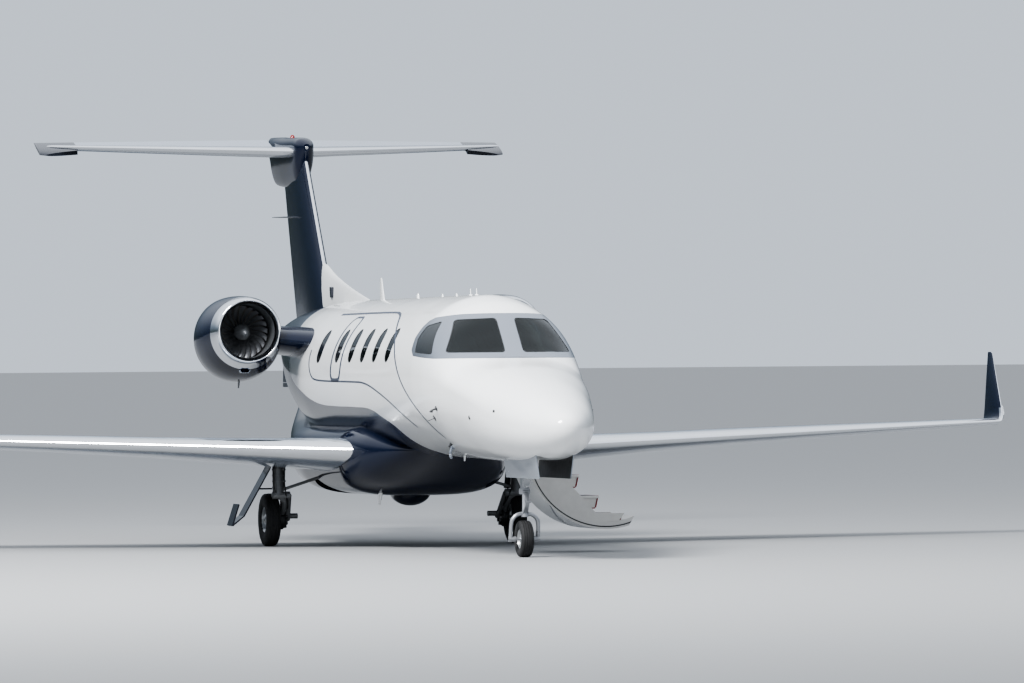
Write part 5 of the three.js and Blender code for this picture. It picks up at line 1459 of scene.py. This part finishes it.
# Small fittings: aerials, air-data probes, static ports, lights and wicks, screwed to the skin.
lens_red = finish("lens_red", (0.35, 0.01, 0.01), 0.12, drift=0.05, Transmission_Weight=0.4, Coat_Weight=0.5)


def blade(x, rows, thick):
    """An upright blade through rows of height, leading edge and chord."""
    return skin_through([section(x, z, lead, chord, thick, 90) for z, lead, chord in rows])


ROOF_BLADE = [
    (2.93, 8.86, 0.24), (3.0, 8.90, 0.21), (3.12, 8.96, 0.15), (3.19, 9.00, 0.10), (3.203, 9.02, 0.06),
]
aerials = [blade(0, ROOF_BLADE, 0.09)]
for station, size in ((7.06, 0.05), (5.83, 0.032), (5.13, 0.03)):
    fin_rows = [(0, 0, 3), (0.01 + size * 0.5, 0.005, 2.4), (0.01 + size, 0.02, 1.2)]
    aerials.append(blade(0, [(2.93 + up, station + aft, size * wide) for up, aft, wide in fin_rows], 0.22))
for station in (4.47, 4.18):
    aerials.append(round_bar(at(0, station, 2.93), at(0, station + 0.012, 3.015), 0.007, 0.004, 12))
    aerials.append(round_bar(at(0, station, 2.93), at(0, station, 2.95), 0.03, 0.016, 24))
piece("roof_aerials", gathered(*aerials), "white_paint", white_paint)


def on_skin(hand, station, z, sunk=0.004):
    """A point on the hull's side, or a little under its skin."""
    return at(hand * (hull_side(station, z) - sunk), station, z)


probes = []
for hand in SIDES:
    root, out = on_skin(hand, 2.78, 1.66), Vector((hand * 0.93, 0, -0.36))
    tip = root + out * 0.085
    tube = [root, root + out * 0.05, tip + Vector((0, -0.02, -0.004)), tip + Vector((0, -0.11, -0.006))]
    probes += [round_bar(root, root + out * 0.012, 0.030, 0.026), hose(tube, 0.010)]
    vane, out = on_skin(hand, 2.98, 1.55), Vector((hand * 0.90, 0, -0.43))
    probes.append(round_bar(vane, vane + out * 0.006, 0.035))
    probes.append(link_plate(vane, vane + out * 0.06 + Vector((0, 0.04, 0)), 0.020, 0.006))
    across = Vector((hand * 0.95, -0.25, -0.1)).normalized()
    for port in (on_skin(hand, 1.773, 1.562, 0), on_skin(hand, 1.137, 1.624, 0)):
        probes.append(round_bar(port - across * 0.004, port + across * 0.0015, 0.024))
    fitting = on_skin(hand, 3.13, 1.26)
    probes.append(round_bar(fitting, fitting + Vector((hand * 0.03, 0, -0.035)), 0.02, 0.012))
piece("air_data_probes", gathered(*probes), "gear_metal", dark_gear)

EAR = rounded([(11.47, 2.99), (11.555, 2.99), (11.585, 3.125), (11.50, 3.125)], 0.03)
ears = [outline_block(EAR, "side", hand * 0.030, hand * 0.078) for hand in SIDES]
piece("dorsal_vents", gathered(*ears), "panel_plastic", dark_paint)
belly_blades = gathered(
    blade(-0.53, [(0.66, 6.80, 0.20), (0.60, 6.84, 0.15), (0.515, 6.90, 0.09), (0.505, 6.92, 0.05)], 0.24),
    blade(-0.30, [(1.12, 3.55, 0.10), (1.07, 3.57, 0.07), (1.055, 3.58, 0.05)], 0.16),
)
piece("belly_aerials", belly_blades, "white_paint", white_paint)
ICE_MAST = [(-0.50, 3.31, 1.235), (-0.53, 3.31, 1.17), (-0.535, 3.30, 1.12), (-0.535, 3.26, 1.10)]
mast = hose([at(*p) for p in ICE_MAST], 0.016)
mast_foot = round_bar(at(-0.49, 3.31, 1.25), at(-0.515, 3.31, 1.205), 0.030)
piece("ice_probe", gathered(mast, mast_foot), "bright_metal", satin_metal)

beacon = [(0.0, 0.038), (0.010, 0.038), (0.012, 0.030), (0.032, 0.026), (0.044, 0.016), (0.048, 0.001)]
piece("tail_beacon", lathed(beacon, at(0, 14.02, 5.045), (0, 0, 1)), "window_glass", lens_red)
TAIL_LAMP = [(0.0, 0.03), (-0.012, 0.028), (-0.022, 0.018), (-0.026, 0.001)]
FIN_BLADE = [(0.03, 13.74, 0.30), (0.16, 13.82, 0.24), (0.26, 13.90, 0.15), (0.275, 13.94, 0.08)]
lamps, fin_blades, wicks = [lathed(TAIL_LAMP, at(0, 13.19, 4.90), (0, 1, 0))], [], []
for hand in SIDES:
    strip = [at(hand * 7.93, 9.268, 1.47), at(hand * 7.932, 9.30, 1.52), at(hand * 7.932, 9.335, 1.58)]
    lamps.append(hose(strip, 0.008))
    fin_blades.append(mirrored(skin_through([section(x, 4.04, a, c, 0.07) for x, a, c in FIN_BLADE]), hand))
    foot = wing_point(7.7, 0.995)
    foot.x *= hand
    wicks.append(hose([foot, foot + Vector((0, 0.06, 0.0)), foot + Vector((0, 0.12, -0.003))], 0.0022))
piece("clear_lamps", gathered(*lamps), "window_glass", lamp_glass)
piece("fin_aerials", gathered(*fin_blades), "panel_plastic", dark_paint)
piece("static_wicks", gathered(*wicks), "panel_plastic", black_rubber)
